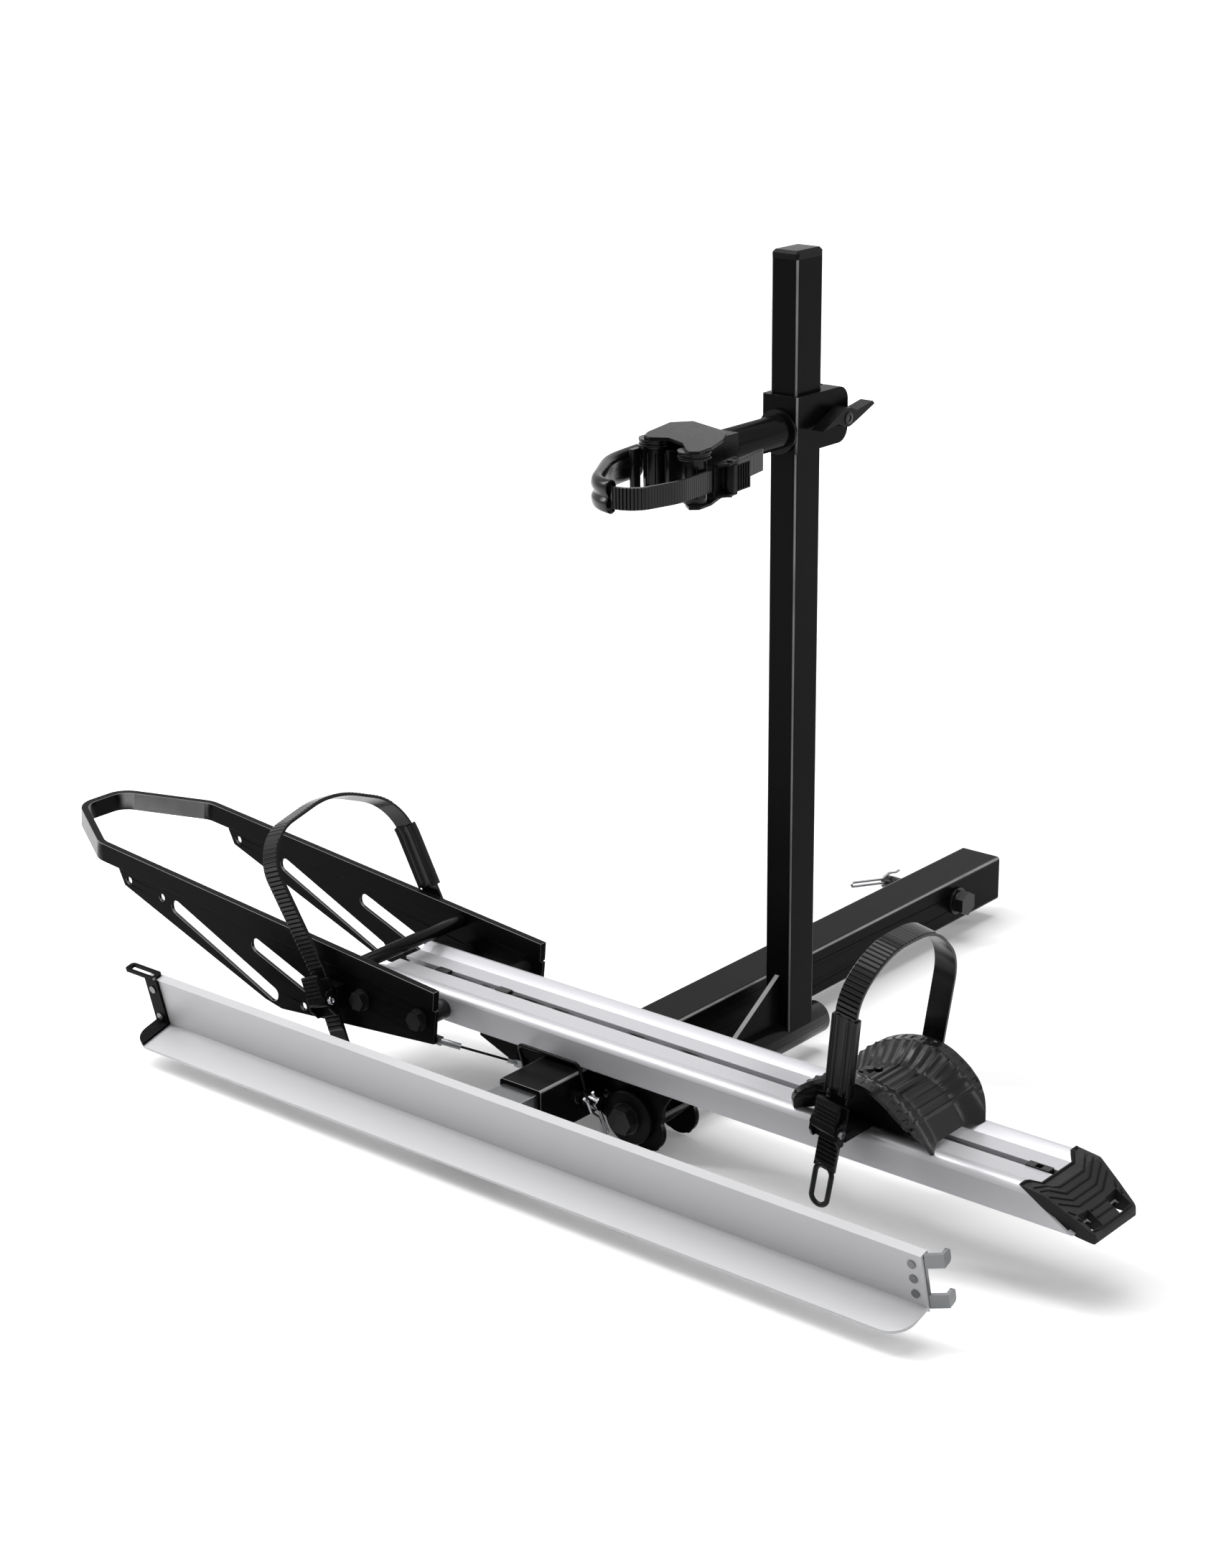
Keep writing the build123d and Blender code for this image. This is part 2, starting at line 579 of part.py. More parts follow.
def rail():
    body = extrude(Pos(RAIL_X0, 0, 0) * rail_section(), RAIL_TOE - RAIL_X0, dir=(1, 0, 0)) - beyond_mitre()
    room_half = SLOT_ROOM_W / 2
    channel = room_half + SLOT_CHANNEL_WALL
    trough = RAIL_TOP - RAIL_LIP
    for side in (-1, 1):
        inner = RAIL_Y + side * channel
        outer = RAIL_Y + side * (RAIL_W / 2 - RAIL_WALL)
        body -= block(RAIL_X0 - 1, RAIL_TOE + 1, min(inner, outer), max(inner, outer),
                      RAIL_BOTTOM + RAIL_WALL, trough - RAIL_WALL)
    body -= block(RAIL_X0 - 1, RAIL_TOE + 1, RAIL_Y - SLOT_W / 2, RAIL_Y + SLOT_W / 2,
                  trough - RAIL_WALL - 1, RAIL_TOP)
    body -= block(RAIL_X0 - 1, RAIL_TOE + 1, RAIL_Y - room_half, RAIL_Y + room_half, SLOT_FLOOR,
                  trough - RAIL_WALL)
    body -= block(RAIL_X0 - 1, RAIL_TOE + 1, RAIL_Y - room_half, RAIL_Y + room_half,
                  RAIL_BOTTOM + RAIL_WALL, SLOT_FLOOR - RAIL_WALL)
    for x in RAIL_BOLT_XS:
        body -= rod("z", RAIL_BOTTOM - 1, SLOT_FLOOR + 1, x, RAIL_Y, RAIL_BOLT_R + RUN)
    for x in SIDE_BOLT_XS:
        body -= rod("y", RAIL_NEAR - 1, RAIL_FAR + 1, x, SIDE_BOLT_Z, SIDE_BOLT_R + RUN)
    body -= sockets()
    put("rail", body)
    fittings = []
    for x in SLOT_PLUG_XS:
        fittings.append(block(x - SLOT_PLUG_L / 2, x + SLOT_PLUG_L / 2, RAIL_Y - SLOT_W / 2,
                              RAIL_Y + SLOT_W / 2, trough - RAIL_WALL, trough + 1))
    nut_x = RAIL_X1 - SLOT_NUT_BACK
    nut0 = nut_x - SLOT_NUT_L / 2
    nut1 = nut_x + SLOT_NUT_L / 2
    nut = block(nut0, nut1, RAIL_Y - SLOT_W / 2, RAIL_Y + SLOT_W / 2, trough - RAIL_WALL, trough + 1.5)
    nut += block(nut0, nut1, RAIL_Y - SLOT_NUT_W / 2, RAIL_Y + SLOT_NUT_W / 2,
                 trough - RAIL_WALL - SLOT_NUT_H, trough - RAIL_WALL)
    nut -= block(nut_x - 3, nut_x + 3, RAIL_Y - 3, RAIL_Y + 3, trough - RAIL_WALL - 3, trough + 2)
    put("slot_fittings", nut, *fittings)


def cap_dip():
    """The room over the dip that runs down the middle of the cap's sloping face."""
    top = RAIL_TOP - CAP_SHOULDER_DROP
    down = Vector(CAP_TIP - CAP_SHOULDER, 0, CAP_TIP_Z + CAP_TIP_H - top)
    outer = CAP_DIP_HALF + CAP_DIP_SIDE
    outline = [(-outer, top), (-CAP_DIP_HALF, top - CAP_DIP), (CAP_DIP_HALF, top - CAP_DIP), (outer, top),
               (outer, top + RAIL_H), (-outer, top + RAIL_H)]
    corners = [Vector(CAP_SHOULDER, RAIL_Y + y, z) - down / 2 for y, z in outline]
    return extrude(make_face(Polyline(*corners, close=True)), 2 * down.length, dir=down)


def rail_end_cap():
    half = RAIL_W / 2
    side = [(RAIL_X1, RAIL_TOP), (CAP_SHOULDER, RAIL_TOP - CAP_SHOULDER_DROP),
            (CAP_TIP, CAP_TIP_Z + CAP_TIP_H), (CAP_TIP + 2, CAP_TIP_Z + 2), (CAP_TIP, CAP_TIP_Z),
            (RAIL_TOE, RAIL_BOTTOM - 3), (RAIL_TOE, RAIL_BOTTOM)]
    plan = [(RAIL_X1 - 1, -half), (CAP_SHOULDER, -half), (CAP_TIP + 3, -CAP_TIP_HALF),
            (CAP_TIP + 3, CAP_TIP_HALF), (CAP_SHOULDER, half), (RAIL_X1 - 1, half)]
    column = Pos(0, RAIL_Y, 0) * prism_xy(plan, 0, RAIL_TOP + 5)
    column = fillet(column.edges().filter_by(Axis.Z).group_by(Axis.X)[-1], CAP_CORNER)
    column = fillet(column.edges().filter_by(Axis.Z).group_by(Axis.X)[1], 3 * CAP_CORNER)
    body = prism_xz(side, RAIL_NEAR, RAIL_FAR) & column
    trough = RAIL_TOP - RAIL_LIP
    flat = half - RAIL_LIP_W - 6
    body -= prism_yz([(RAIL_Y - half + 8, RAIL_TOP + 1), (RAIL_Y - flat, trough), (RAIL_Y + flat, trough),
                      (RAIL_Y + half - 8, RAIL_TOP + 1)], RAIL_X1 - 1, CAP_TIP)
    tongues = []
    for sign in (-1, 1):
        inner = RAIL_Y + sign * (SLOT_ROOM_W / 2 + SLOT_CHANNEL_WALL)
        outer = RAIL_Y + sign * (half - RAIL_WALL)
        tongues.append(block(RAIL_X1 - 25, RAIL_TOE, min(inner, outer), max(inner, outer),
                             RAIL_BOTTOM + RAIL_WALL, trough - RAIL_WALL) - beyond_mitre())
    body -= cap_dip()
    body += tongues
    body -= sockets()
    put("rail_end_cap", body)


def cradle():
    tilt = math.radians(BAR_TILT)
    # The loop lies in a plane that rises towards the nose; u runs down that plane towards the rail.
    plane = Plane(origin=(BAR_X1, RAIL_Y, BAR_Z1), x_dir=(math.cos(tilt), 0, -math.sin(tilt)),
                  z_dir=(math.sin(tilt), 0, math.cos(tilt)))
    mid = CRADLE_HALF - BAR_T / 2
    start = (NOSE_START - BAR_X1) / math.cos(tilt)
    nose = (NOSE_X - BAR_X1) / math.cos(tilt)
    points = [(0, -mid), (start, -mid), (nose, -NOSE_HALF), (nose, NOSE_HALF), (start, mid), (0, mid)]
    face = trace(FilletPolyline(*points, radius=[NOSE_R] * 4), line_width=BAR_T)
    put("cradle_loop", extrude(plane * face, -BAR_H))
    for name, sign in (("near_cradle_plate", -1), ("far_cradle_plate", 1)):
        outer = RAIL_Y + sign * (CRADLE_HALF - BAR_INSET)
        inner = outer - sign * SIDE_T
        y0, y1 = min(outer, inner), max(outer, inner)
        under_bar = BAR_Z1 - BAR_H / math.cos(tilt)
        left_top = (SIDE_X0, under_bar + (BAR_X1 - SIDE_X0) * math.tan(tilt))
        plate = prism_xz([left_top, *SIDE_OUTLINE, (BAR_X1, under_bar)], y0, y1)
        for (xa, za), (xb, zb) in SIDE_SLOTS:
            length = math.hypot(xb - xa, zb - za)
            angle = math.degrees(math.atan2(zb - za, xb - xa))
            slot = extrude(SlotCenterToCenter(length, SIDE_SLOT_W), 10, both=True)
            plate -= Pos((xa + xb) / 2, (y0 + y1) / 2, (za + zb) / 2) * Rot(0, -angle, 0) * Rot(90, 0,
                                                                                                0) * slot
        for x, z in SIDE_HOLES:
            plate -= rod("y", y0 - 1, y1 + 1, x, z, SIDE_HOLE_R)
        for x in SIDE_BOLT_XS:
            plate -= rod("y", y0 - 1, y1 + 1, x, SIDE_BOLT_Z, SIDE_BOLT_R + RUN)
        put(name, plate)
    inner_face = CRADLE_HALF - BAR_T
    cross = rod("y", RAIL_Y - inner_face, RAIL_Y + inner_face, CROSS_X, CROSS_Z, CROSS_R)
    put("cross_tube", cross - rod("y", RAIL_Y - CRADLE_HALF, RAIL_Y + CRADLE_HALF, CROSS_X, CROSS_Z,
                                  CROSS_R - CROSS_WALL))
    outside = CRADLE_HALF - BAR_INSET
    inside = outside - SIDE_T
    front = RAIL_Y - outside
    back = RAIL_Y + outside
    bolts = []
    spacers = []
    for x in SIDE_BOLT_XS:
        bolt = rod("y", front, back + SIDE_NUT_H + 4, x, SIDE_BOLT_Z, SIDE_BOLT_R)
        bolt += rod("y", front - SIDE_WASHER_H, front, x, SIDE_BOLT_Z, SIDE_WASHER_R)
        bolt += hexagon("y", front - SIDE_WASHER_H - SIDE_HEAD_H, front - SIDE_WASHER_H, x, SIDE_BOLT_Z,
                        SIDE_FLATS)
        nut = hexagon("y", back, back + SIDE_NUT_H, x, SIDE_BOLT_Z, SIDE_FLATS)
        bolts += [bolt, nut - rod("y", back - 1, back + 2 * SIDE_NUT_H, x, SIDE_BOLT_Z, SIDE_BOLT_R)]
        for a, b in ((RAIL_Y - inside, RAIL_NEAR), (RAIL_FAR, RAIL_Y + inside)):
            spacer = rod("y", a, b, x, SIDE_BOLT_Z, SIDE_SPACER_R)
            spacers.append(spacer - rod("y", a - 1, b + 1, x, SIDE_BOLT_Z, SIDE_BOLT_R))
    put("cradle_fasteners", *bolts)
    put("cradle_spacers", *spacers)


def cable():
    plate_back = RAIL_Y - CRADLE_HALF + BAR_INSET + SIDE_T
    start = Vector(CABLE_X0, plate_back + 2, CABLE_Z0)
    end = Vector(CABLE_X1, NEAR_PLATE_Y - 3, CABLE_Z1)
    along = (end - start).normalized()
    fit_a = start + along * CABLE_END_L
    fit_b = end - along * FERRULE_L
    wire = Plane(origin=fit_a, z_dir=along) * extrude(Circle(CABLE_R), (fit_b - fit_a).length)
    turn = Plane(origin=start, z_dir=along) * extrude(Circle(CABLE_END_R), CABLE_END_L)
    lug = block(start.X - 9, start.X + 1, plate_back, start.Y + 3, start.Z - TAB_HALF, start.Z + TAB_HALF)
    ferrule = Plane(origin=fit_b, z_dir=along) * extrude(Circle(FERRULE_R), FERRULE_L)
    tab = block(end.X - 3, end.X + 7, end.Y - 2, NEAR_PLATE_Y, end.Z - TAB_HALF, end.Z + TAB_HALF)
    put("cable", wire)
    put("cable_fittings", turn + lug, ferrule + tab)


def mast():
    plug_back = PIVOT_TUBE_FRONT + PLUG_LEN
    bore = PIVOT_TUBE_R - PIVOT_TUBE_WALL
    tube = rod("y", PIVOT_TUBE_FRONT, PIVOT_TUBE_BACK, PIVOT_X, PIVOT_Z, PIVOT_TUBE_R)
    tube -= rod("y", PIVOT_TUBE_FRONT - 1, PIVOT_TUBE_BACK - 4, PIVOT_X, PIVOT_Z, bore)
    put("pivot_tube", tube)
    plug = rod("y", PIVOT_TUBE_FRONT, plug_back, PIVOT_X, PIVOT_Z, bore)
    put("pivot_plug", plug - rod("y", PIVOT_TUBE_FRONT - 1, plug_back + 1, PIVOT_X, PIVOT_Z, PIVOT_R))
    disc_back = NEAR_PLATE_Y - GAP
    disc_front = disc_back - PIVOT_DISC_H
    disc = rod("y", disc_front, disc_back, PIVOT_X, PIVOT_Z, PIVOT_DISC_R)
    disc = chamfer(disc.edges().filter_by(GeomType.CIRCLE).group_by(Axis.Y)[0], 2.0)
    put("pivot_washer", disc - rod("y", disc_front - 1, disc_back + 1, PIVOT_X, PIVOT_Z, PIVOT_R))
    bolt = rod("y", disc_front, plug_back, PIVOT_X, PIVOT_Z, PIVOT_R)
    bolt += rod("y", disc_front - 2, disc_front, PIVOT_X, PIVOT_Z, PIVOT_HEAD_FLATS / 2 + 4)
    bolt += hexagon("y", disc_front - 2 - PIVOT_HEAD_H, disc_front - 2, PIVOT_X, PIVOT_Z, PIVOT_HEAD_FLATS)
    put("pivot_bolt", bolt)
    foot = PIVOT_Z
    column = square_tube(MAST_X, MAST_Y, MAST_CORNER, MAST_WALL, MAST_TOP - foot)
    column = Pos(PIVOT_X, MAST_MID_Y, (MAST_TOP + foot) / 2) * column
    put("mast_tube", column - rod("y", PIVOT_TUBE_FRONT, PIVOT_TUBE_BACK, PIVOT_X, PIVOT_Z, PIVOT_TUBE_R))
    gusset = prism_yz([(MAST_FRONT, GUSSET_TOP), (MAST_FRONT, PIVOT_Z),
                       (MAST_FRONT - GUSSET_REACH, PIVOT_Z),
                       (MAST_FRONT - GUSSET_REACH,
                        PIVOT_Z + PIVOT_TUBE_R)], PIVOT_X - PLATE / 2, PIVOT_X + PLATE / 2)
    put("mast_gusset", gusset - rod("y", PIVOT_TUBE_FRONT, PIVOT_TUBE_BACK, PIVOT_X, PIVOT_Z, PIVOT_TUBE_R))
    cap = Pos(PIVOT_X, MAST_MID_Y, MAST_TOP) * extrude(RectangleRounded(MAST_X, MAST_Y, MAST_CORNER), CAP_H)
    cap = chamfer(cap.edges().group_by(Axis.Z)[-1], CAP_CHAMFER)
    cap += Pos(PIVOT_X, MAST_MID_Y, MAST_TOP - 15) * extrude(
        RectangleRounded(MAST_X - 2 * MAST_WALL, MAST_Y - 2 * MAST_WALL, 0.6), 15)
    put("mast_cap", cap)


def collar_and_arm():
    z0 = COLLAR_Z - COLLAR_H / 2
    z1 = COLLAR_Z + COLLAR_H / 2
    half = MAST_X / 2 + COLLAR_WALL
    front = MAST_FRONT - COLLAR_WALL
    back = MAST_FRONT + MAST_Y
    body = block(PIVOT_X - half, PIVOT_X + half, front, back + COLLAR_WALL, z0, z1)
    body = fillet(body.edges().filter_by(Axis.Z), 3.0)
    lugs = block(PIVOT_X - half, PIVOT_X + half, back, LUG_BACK, z0, z1)
    body += fillet(lugs.edges().filter_by(Axis.X).group_by(Axis.Y)[-1], LUG_CORNER)
    body -= block(PIVOT_X - MAST_X / 2 - GAP, PIVOT_X + MAST_X / 2 + GAP, MAST_FRONT - GAP, back + GAP,
                  z0 - 1, z1 + 1)
    body -= block(PIVOT_X - CLAMP_SLIT / 2, PIVOT_X + CLAMP_SLIT / 2, back, LUG_BACK + 1, z0 - 1, z1 + 1)
    body -= rod("x", PIVOT_X - half - 1, PIVOT_X + half + 1, CLAMP_Y, COLLAR_Z, CLAMP_R + RUN)
    put("collar", body)
    arm = rod("y", ARM_FRONT, front, PIVOT_X, ARM_Z, ARM_R)
    arm -= rod("y", ARM_FRONT - 1, front - 2, PIVOT_X, ARM_Z, ARM_R - ARM_WALL)
    ring = rod("y", front - ARM_RING_H, front, PIVOT_X, ARM_Z, ARM_RING_R)
    arm += ring - rod("y", front - ARM_RING_H - 1, front, PIVOT_X, ARM_Z, ARM_R)
    put("arm_tube", arm)
    hub0 = PIVOT_X + half + GAP
    blade0 = hub0 + KNOB_STEM_H
    bolt_end = blade0 + KNOB_T - 3
    nut1 = PIVOT_X - half - GAP
    bolt = rod("x", nut1 - NUT_H - 2, bolt_end, CLAMP_Y, COLLAR_Z, CLAMP_R)
    bolt += hexagon("x", nut1 - NUT_H, nut1, CLAMP_Y, COLLAR_Z, 13.0)
    put("clamp_bolt", bolt)
    knob = rod("x", hub0, blade0 + KNOB_T, 0, 0, KNOB_STEM_R)
    knob += prism_yz(KNOB_OUTLINE, blade0, blade0 + KNOB_T)
    knob -= rod("x", hub0 - 1, bolt_end, 0, 0, CLAMP_R)
    put("wing_knob", Pos(0, CLAMP_Y, COLLAR_Z) * knob)


def clamp_head():
    under = HEAD_TOP - HEAD_PLATE
    above = HEAD_BOTTOM + HEAD_PLATE
    put("head_top_plate", prism_xy(HEAD_OUTLINE, under, HEAD_TOP))
    put("head_bottom_plate", prism_xy(HEAD_OUTLINE, HEAD_BOTTOM, above))
    hub = block(HUB_X0, HUB_X1, HUB_FRONT, HUB_BACK, above, under)
    put("head_hub", hub - rod("y", ARM_FRONT - GAP, HUB_BACK + 1, PIVOT_X, ARM_Z, ARM_R + RUN))
    post_top = under - 3 * HEAD_RUBBER
    rubbers = []
    posts = []
    for x, y in POSTS:
        for index in range(3):
            z = post_top + index * HEAD_RUBBER
            rubbers.append(rod("z", z, z + HEAD_RUBBER, x, y, POST_R + 4 - index % 2))
        post = rod("z", above, post_top, x, y, POST_R)
        for turn in range(FLUTES):
            angle = 2 * math.pi * turn / FLUTES
            post -= rod("z", above + 5, post_top - 5, x + POST_R * math.cos(angle),
                        y + POST_R * math.sin(angle), FLUTE_R)
        posts.append(post)
    put("head_rubbers", *rubbers)
    put("head_posts", *posts)
    pads = []
    for (xa, ya), (xb, yb) in PADS:
        length = math.hypot(xb - xa, yb - ya)
        turn = math.degrees(math.atan2(yb - ya, xb - xa))
        middle = Pos((xa + xb) / 2, (ya + yb) / 2, (above + post_top) / 2) * Rot(0, 0, turn)
        pad = fillet(Box(length, PAD_T, post_top - above - 2 * GAP).edges().filter_by(Axis.Z),
                     PAD_T / 2 - 0.2)
        pads.append(middle * pad - hub - Compound(children=posts))
    put("head_pads", *pads)


def sleeve_on(strap, points, radii, plane, room, thick=SLEEVE_T, width=SLEEVE_W):
    """The rubber sleeve round a strap: a thick band with the strap's own room left open."""
    return (band(points, radii, thick, width, plane) & room) - strap


def buckle(place):
    """A ratchet buckle at the place: Z away from the strap's face, X along the strap."""
    side = BUCKLE_W / 2
    base = block(-BUCKLE_L / 2, BUCKLE_L / 2, -side, side, 0, BUCKLE_WALL)
    for sign in (-1, 1):
        outline = [(-BUCKLE_L / 2, 0), (BUCKLE_L / 2 - 12, 0), (BUCKLE_L / 2 - 12, 8), (4, BUCKLE_T),
                   (-10, BUCKLE_T), (-BUCKLE_L / 2, 6)]
        wall = prism_xz(outline, side - BUCKLE_WALL, side)
        base += wall if sign > 0 else wall.mirror(Plane.XZ)
    inner = side - BUCKLE_WALL - GAP
    hinge_z = BUCKLE_T - 4
    top = hinge_z + LEVER_BARREL_R
    base -= rod("y", -side - 1, side + 1, LEVER_X, hinge_z, BUCKLE_PIN_R + RUN)
    lever = rod("y", -inner, inner, LEVER_X, hinge_z, LEVER_BARREL_R)
    lever += rod("y", -side - 1.5, side + 1.5, LEVER_X, hinge_z, BUCKLE_PIN_R)
    lever += block(LEVER_X, LEVER_X + LEVER_L, -inner, inner, top - LEVER_T, top)
    lever += rod("y", -inner, inner, LEVER_X + LEVER_L, top - LEVER_T / 2, LEVER_T / 2)
    return place * base, place * lever


def front_strap():
    tilt = math.radians(FRONT_STRAP_TILT)
    up = Vector(-math.sin(tilt), 0, math.cos(tilt))
    out = Vector(math.cos(tilt), 0, math.sin(tilt))
    plane = Plane(origin=(FRONT_STRAP_X, 0, FRONT_STRAP_Z), x_dir=(0, 1, 0), z_dir=out)
    near = FRONT_STRAP_NEAR
    far = FRONT_STRAP_FAR
    points = [(near, -FRONT_STRAP_TAIL), (near, FRONT_STRAP_BEND), *FRONT_STRAP_LOOP, (far, 0)]
    strap = band(points, FRONT_STRAP_RADII, STRAP_T, STRAP_W, plane)
    put("front_strap", strap)
    low, high = FRONT_SLEEVE
    room = plane.location * block(RAIL_Y, far + ROOM, low, high, -ROOM, ROOM)
    put("front_strap_sleeve", sleeve_on(strap, points, FRONT_STRAP_RADII, plane, room))
    place = Plane(origin=Vector(FRONT_STRAP_X, near - STRAP_T / 2, FRONT_STRAP_Z), x_dir=up,
                  z_dir=(0, -1, 0)).location
    base, lever = buckle(place)
    side = CRADLE_HALF - BAR_INSET
    near_block = block(FRONT_STRAP_X - STRAP_BLOCK_HALF, FRONT_STRAP_X + STRAP_BLOCK_HALF, near,
                       RAIL_Y - side, FRONT_STRAP_Z + STRAP_BLOCK_LOW, FRONT_STRAP_Z + STRAP_BLOCK_HIGH)
    put("front_buckle", base, near_block - strap)
    put("front_buckle_lever", lever)
    far_block = block(FRONT_STRAP_X - STRAP_BLOCK_HALF, FRONT_STRAP_X + ANCHOR_RIGHT, RAIL_Y + side, far,
                      FRONT_STRAP_Z + ANCHOR_LOW, FRONT_STRAP_Z + ANCHOR_HIGH)
    put("front_strap_anchor", far_block - strap)


def tray():
    half = TRAY_HALF_W
    r0 = TRAY_R
    r1 = TRAY_R + TRAY_DEPTH
    lip = half - 12
    floor = 18
    top = [
        Line((-half, r1), (-lip, r1)),
        Spline((-lip, r1), (-floor, r0), tangents=((1, 0), (1, 0))),
        Line((-floor, r0), (floor, r0)),
        Spline((floor, r0), (lip, r1), tangents=((1, 0), (1, 0))),
        Line((lip, r1), (half, r1)),
    ]
    low = [
        Line((half, r1), (half, r1 - TRAY_T)),
        Line((half, r1 - TRAY_T), (lip, r1 - TRAY_T)),
        Spline((lip, r1 - TRAY_T), (floor, r0 - TRAY_T), tangents=((-1, 0), (-1, 0))),
        Line((floor, r0 - TRAY_T), (-floor, r0 - TRAY_T)),
        Spline((-floor, r0 - TRAY_T), (-lip, r1 - TRAY_T), tangents=((-1, 0), (-1, 0))),
        Line((-lip, r1 - TRAY_T), (-half, r1 - TRAY_T)),
        Line((-half, r1 - TRAY_T), (-half, r1)),
    ]
    # In the section, X is the distance across the rail and Y the distance from the arch's axis.
    section = make_face(Curve() + top + low)
    angle = math.radians(-TRAY_HALF_ANGLE)
    middle = RAIL_Y + TRAY_SHIFT
    axis_point = (TRAY_X, middle, TRAY_AXIS_Z)
    plane = Plane(origin=axis_point, x_dir=(0, 1, 0), z_dir=(math.cos(angle), 0, -math.sin(angle)))
    shell = revolve(plane * section, Axis(axis_point, (0, 1, 0)), 2 * TRAY_HALF_ANGLE)
    bottom = RAIL_TOP + GAP
    rise = bottom - TRAY_AXIS_Z
    reach = math.sqrt(r1 * r1 - rise * rise)
    keep = Pos(TRAY_X, middle, bottom) * extrude(RectangleRounded(2 * reach, 2 * half, TRAY_END_R), r1)
    bolt_x = TRAY_X - TRAY_BOLT_BACK
    shell = shell & keep
    shell -= block(bolt_x - TRAY_SLOT_BACK, bolt_x + TRAY_SLOT_FRONT, RAIL_Y - TRAY_BOLT_R - GAP,
                   RAIL_Y + TRAY_BOLT_R + GAP,
                   bottom, bottom + r1)
    put("tray_shell", shell)
    arch = rod("y", RAIL_Y - half, RAIL_Y + half, TRAY_X, TRAY_AXIS_Z, TRAY_R - TRAY_T)
    base = block(TRAY_X - TRAY_BASE_L / 2, TRAY_X + TRAY_BASE_L / 2, RAIL_Y - TRAY_BASE_W / 2,
                 RAIL_Y + TRAY_BASE_W / 2, bottom, bottom + r1) & arch
    near = REAR_STRAP_NEAR + STRAP_T / 2
    far = REAR_STRAP_FAR - STRAP_T / 2
    base += block(REAR_STRAP_X - TRAY_ARM_W / 2, REAR_STRAP_X + TRAY_ARM_W / 2, near, far, bottom,
                  bottom + TRAY_ARM_T)
    base -= rod("z", bottom - 1, bottom + r1, bolt_x, RAIL_Y, TRAY_BOLT_R)
    put("tray_base", base - PARTS["rear_strap"])
    slot_top = RAIL_TOP - RAIL_LIP - RAIL_WALL
    nut = block(bolt_x - TRAY_NUT_L / 2, bolt_x + TRAY_NUT_L / 2, RAIL_Y - SLOT_ROOM_W / 2 + GAP,
                RAIL_Y + SLOT_ROOM_W / 2 - GAP,
                slot_top - TRAY_NUT_H, slot_top - GAP)
    put("tray_bolt", nut + rod("z", slot_top - TRAY_NUT_H, TRAY_AXIS_Z + TRAY_R - 1, bolt_x, RAIL_Y,
                               TRAY_BOLT_R))


def rear_strap():
    tilt = math.radians(REAR_STRAP_TILT)
    up = Vector(-math.sin(tilt), 0, math.cos(tilt))
    out = Vector(math.cos(tilt), 0, math.sin(tilt))
    plane = Plane(origin=(REAR_STRAP_X, 0, RAIL_TOP), x_dir=(0, 1, 0), z_dir=out)
    near = REAR_STRAP_NEAR
    far = REAR_STRAP_FAR
    points = [(near, -REAR_STRAP_TAIL), (near, REAR_STRAP_BEND), *REAR_STRAP_LOOP, (far, GAP)]
    centre = Plane(origin=Vector(REAR_STRAP_X, near - STRAP_T / 2,
                                 RAIL_TOP) - up * (REAR_STRAP_TAIL + RING_L / 2 - 5),
                   x_dir=up, z_dir=(0, 1, 0))
    ring = SlotOverall(RING_L, STRAP_W) - SlotOverall(RING_L - 12, STRAP_W - 9)
    strap = band(points, REAR_STRAP_RADII, STRAP_T, STRAP_W, plane)
    put("rear_strap", strap + extrude(centre * ring, STRAP_T))
    low, high = REAR_SLEEVE
    room = plane.location * block(near - ROOM, RAIL_Y, low, high, -ROOM, ROOM)
    put("rear_strap_sleeve", sleeve_on(strap, points, REAR_STRAP_RADII, plane, room))
    origin = Vector(REAR_STRAP_X, near - STRAP_T / 2, RAIL_TOP) + up * (TRAY_ARM_T / 2 + REAR_BUCKLE_UP)
    base, lever = buckle(Plane(origin=origin, x_dir=up, z_dir=(0, -1, 0)).location)
    put("rear_buckle", base)
    put("rear_buckle_lever", lever)


def frame_strap():
    plane = Plane(origin=(0, 0, FRAME_STRAP_Z))
    strap = band(FRAME_STRAP, FRAME_STRAP_RADII, STRAP_T, FRAME_STRAP_W, plane)
    strap -= block(HUB_X0, HUB_X1, HUB_FRONT, HUB_BACK, HEAD_BOTTOM, HEAD_TOP)
    put("frame_strap", strap)
    room = block(FRAME_SLEEVE_X - 2 * ROOM, FRAME_SLEEVE_X, FRAME_SLEEVE_Y - 2 * ROOM, FRAME_SLEEVE_Y,
                 FRAME_STRAP_Z - ROOM, FRAME_STRAP_Z + ROOM)
    put("frame_strap_sleeve", sleeve_on(strap, FRAME_STRAP, FRAME_STRAP_RADII, plane, room, FRAME_SLEEVE_T,
                                        FRAME_SLEEVE_W))
    a = Vector(*FRAME_STRAP[-3], FRAME_STRAP_Z)
    b = Vector(*FRAME_STRAP[-2], FRAME_STRAP_Z)
    along = (b - a).normalized()
    out = along.cross(Vector(0, 0, 1))
    origin = a + (b - a) * FRAME_BUCKLE_AT + out * (STRAP_T / 2)
    base, lever = buckle(Plane(origin=origin, x_dir=along, z_dir=out).location)
    put("frame_buckle", base)
    put("frame_buckle_lever", lever)


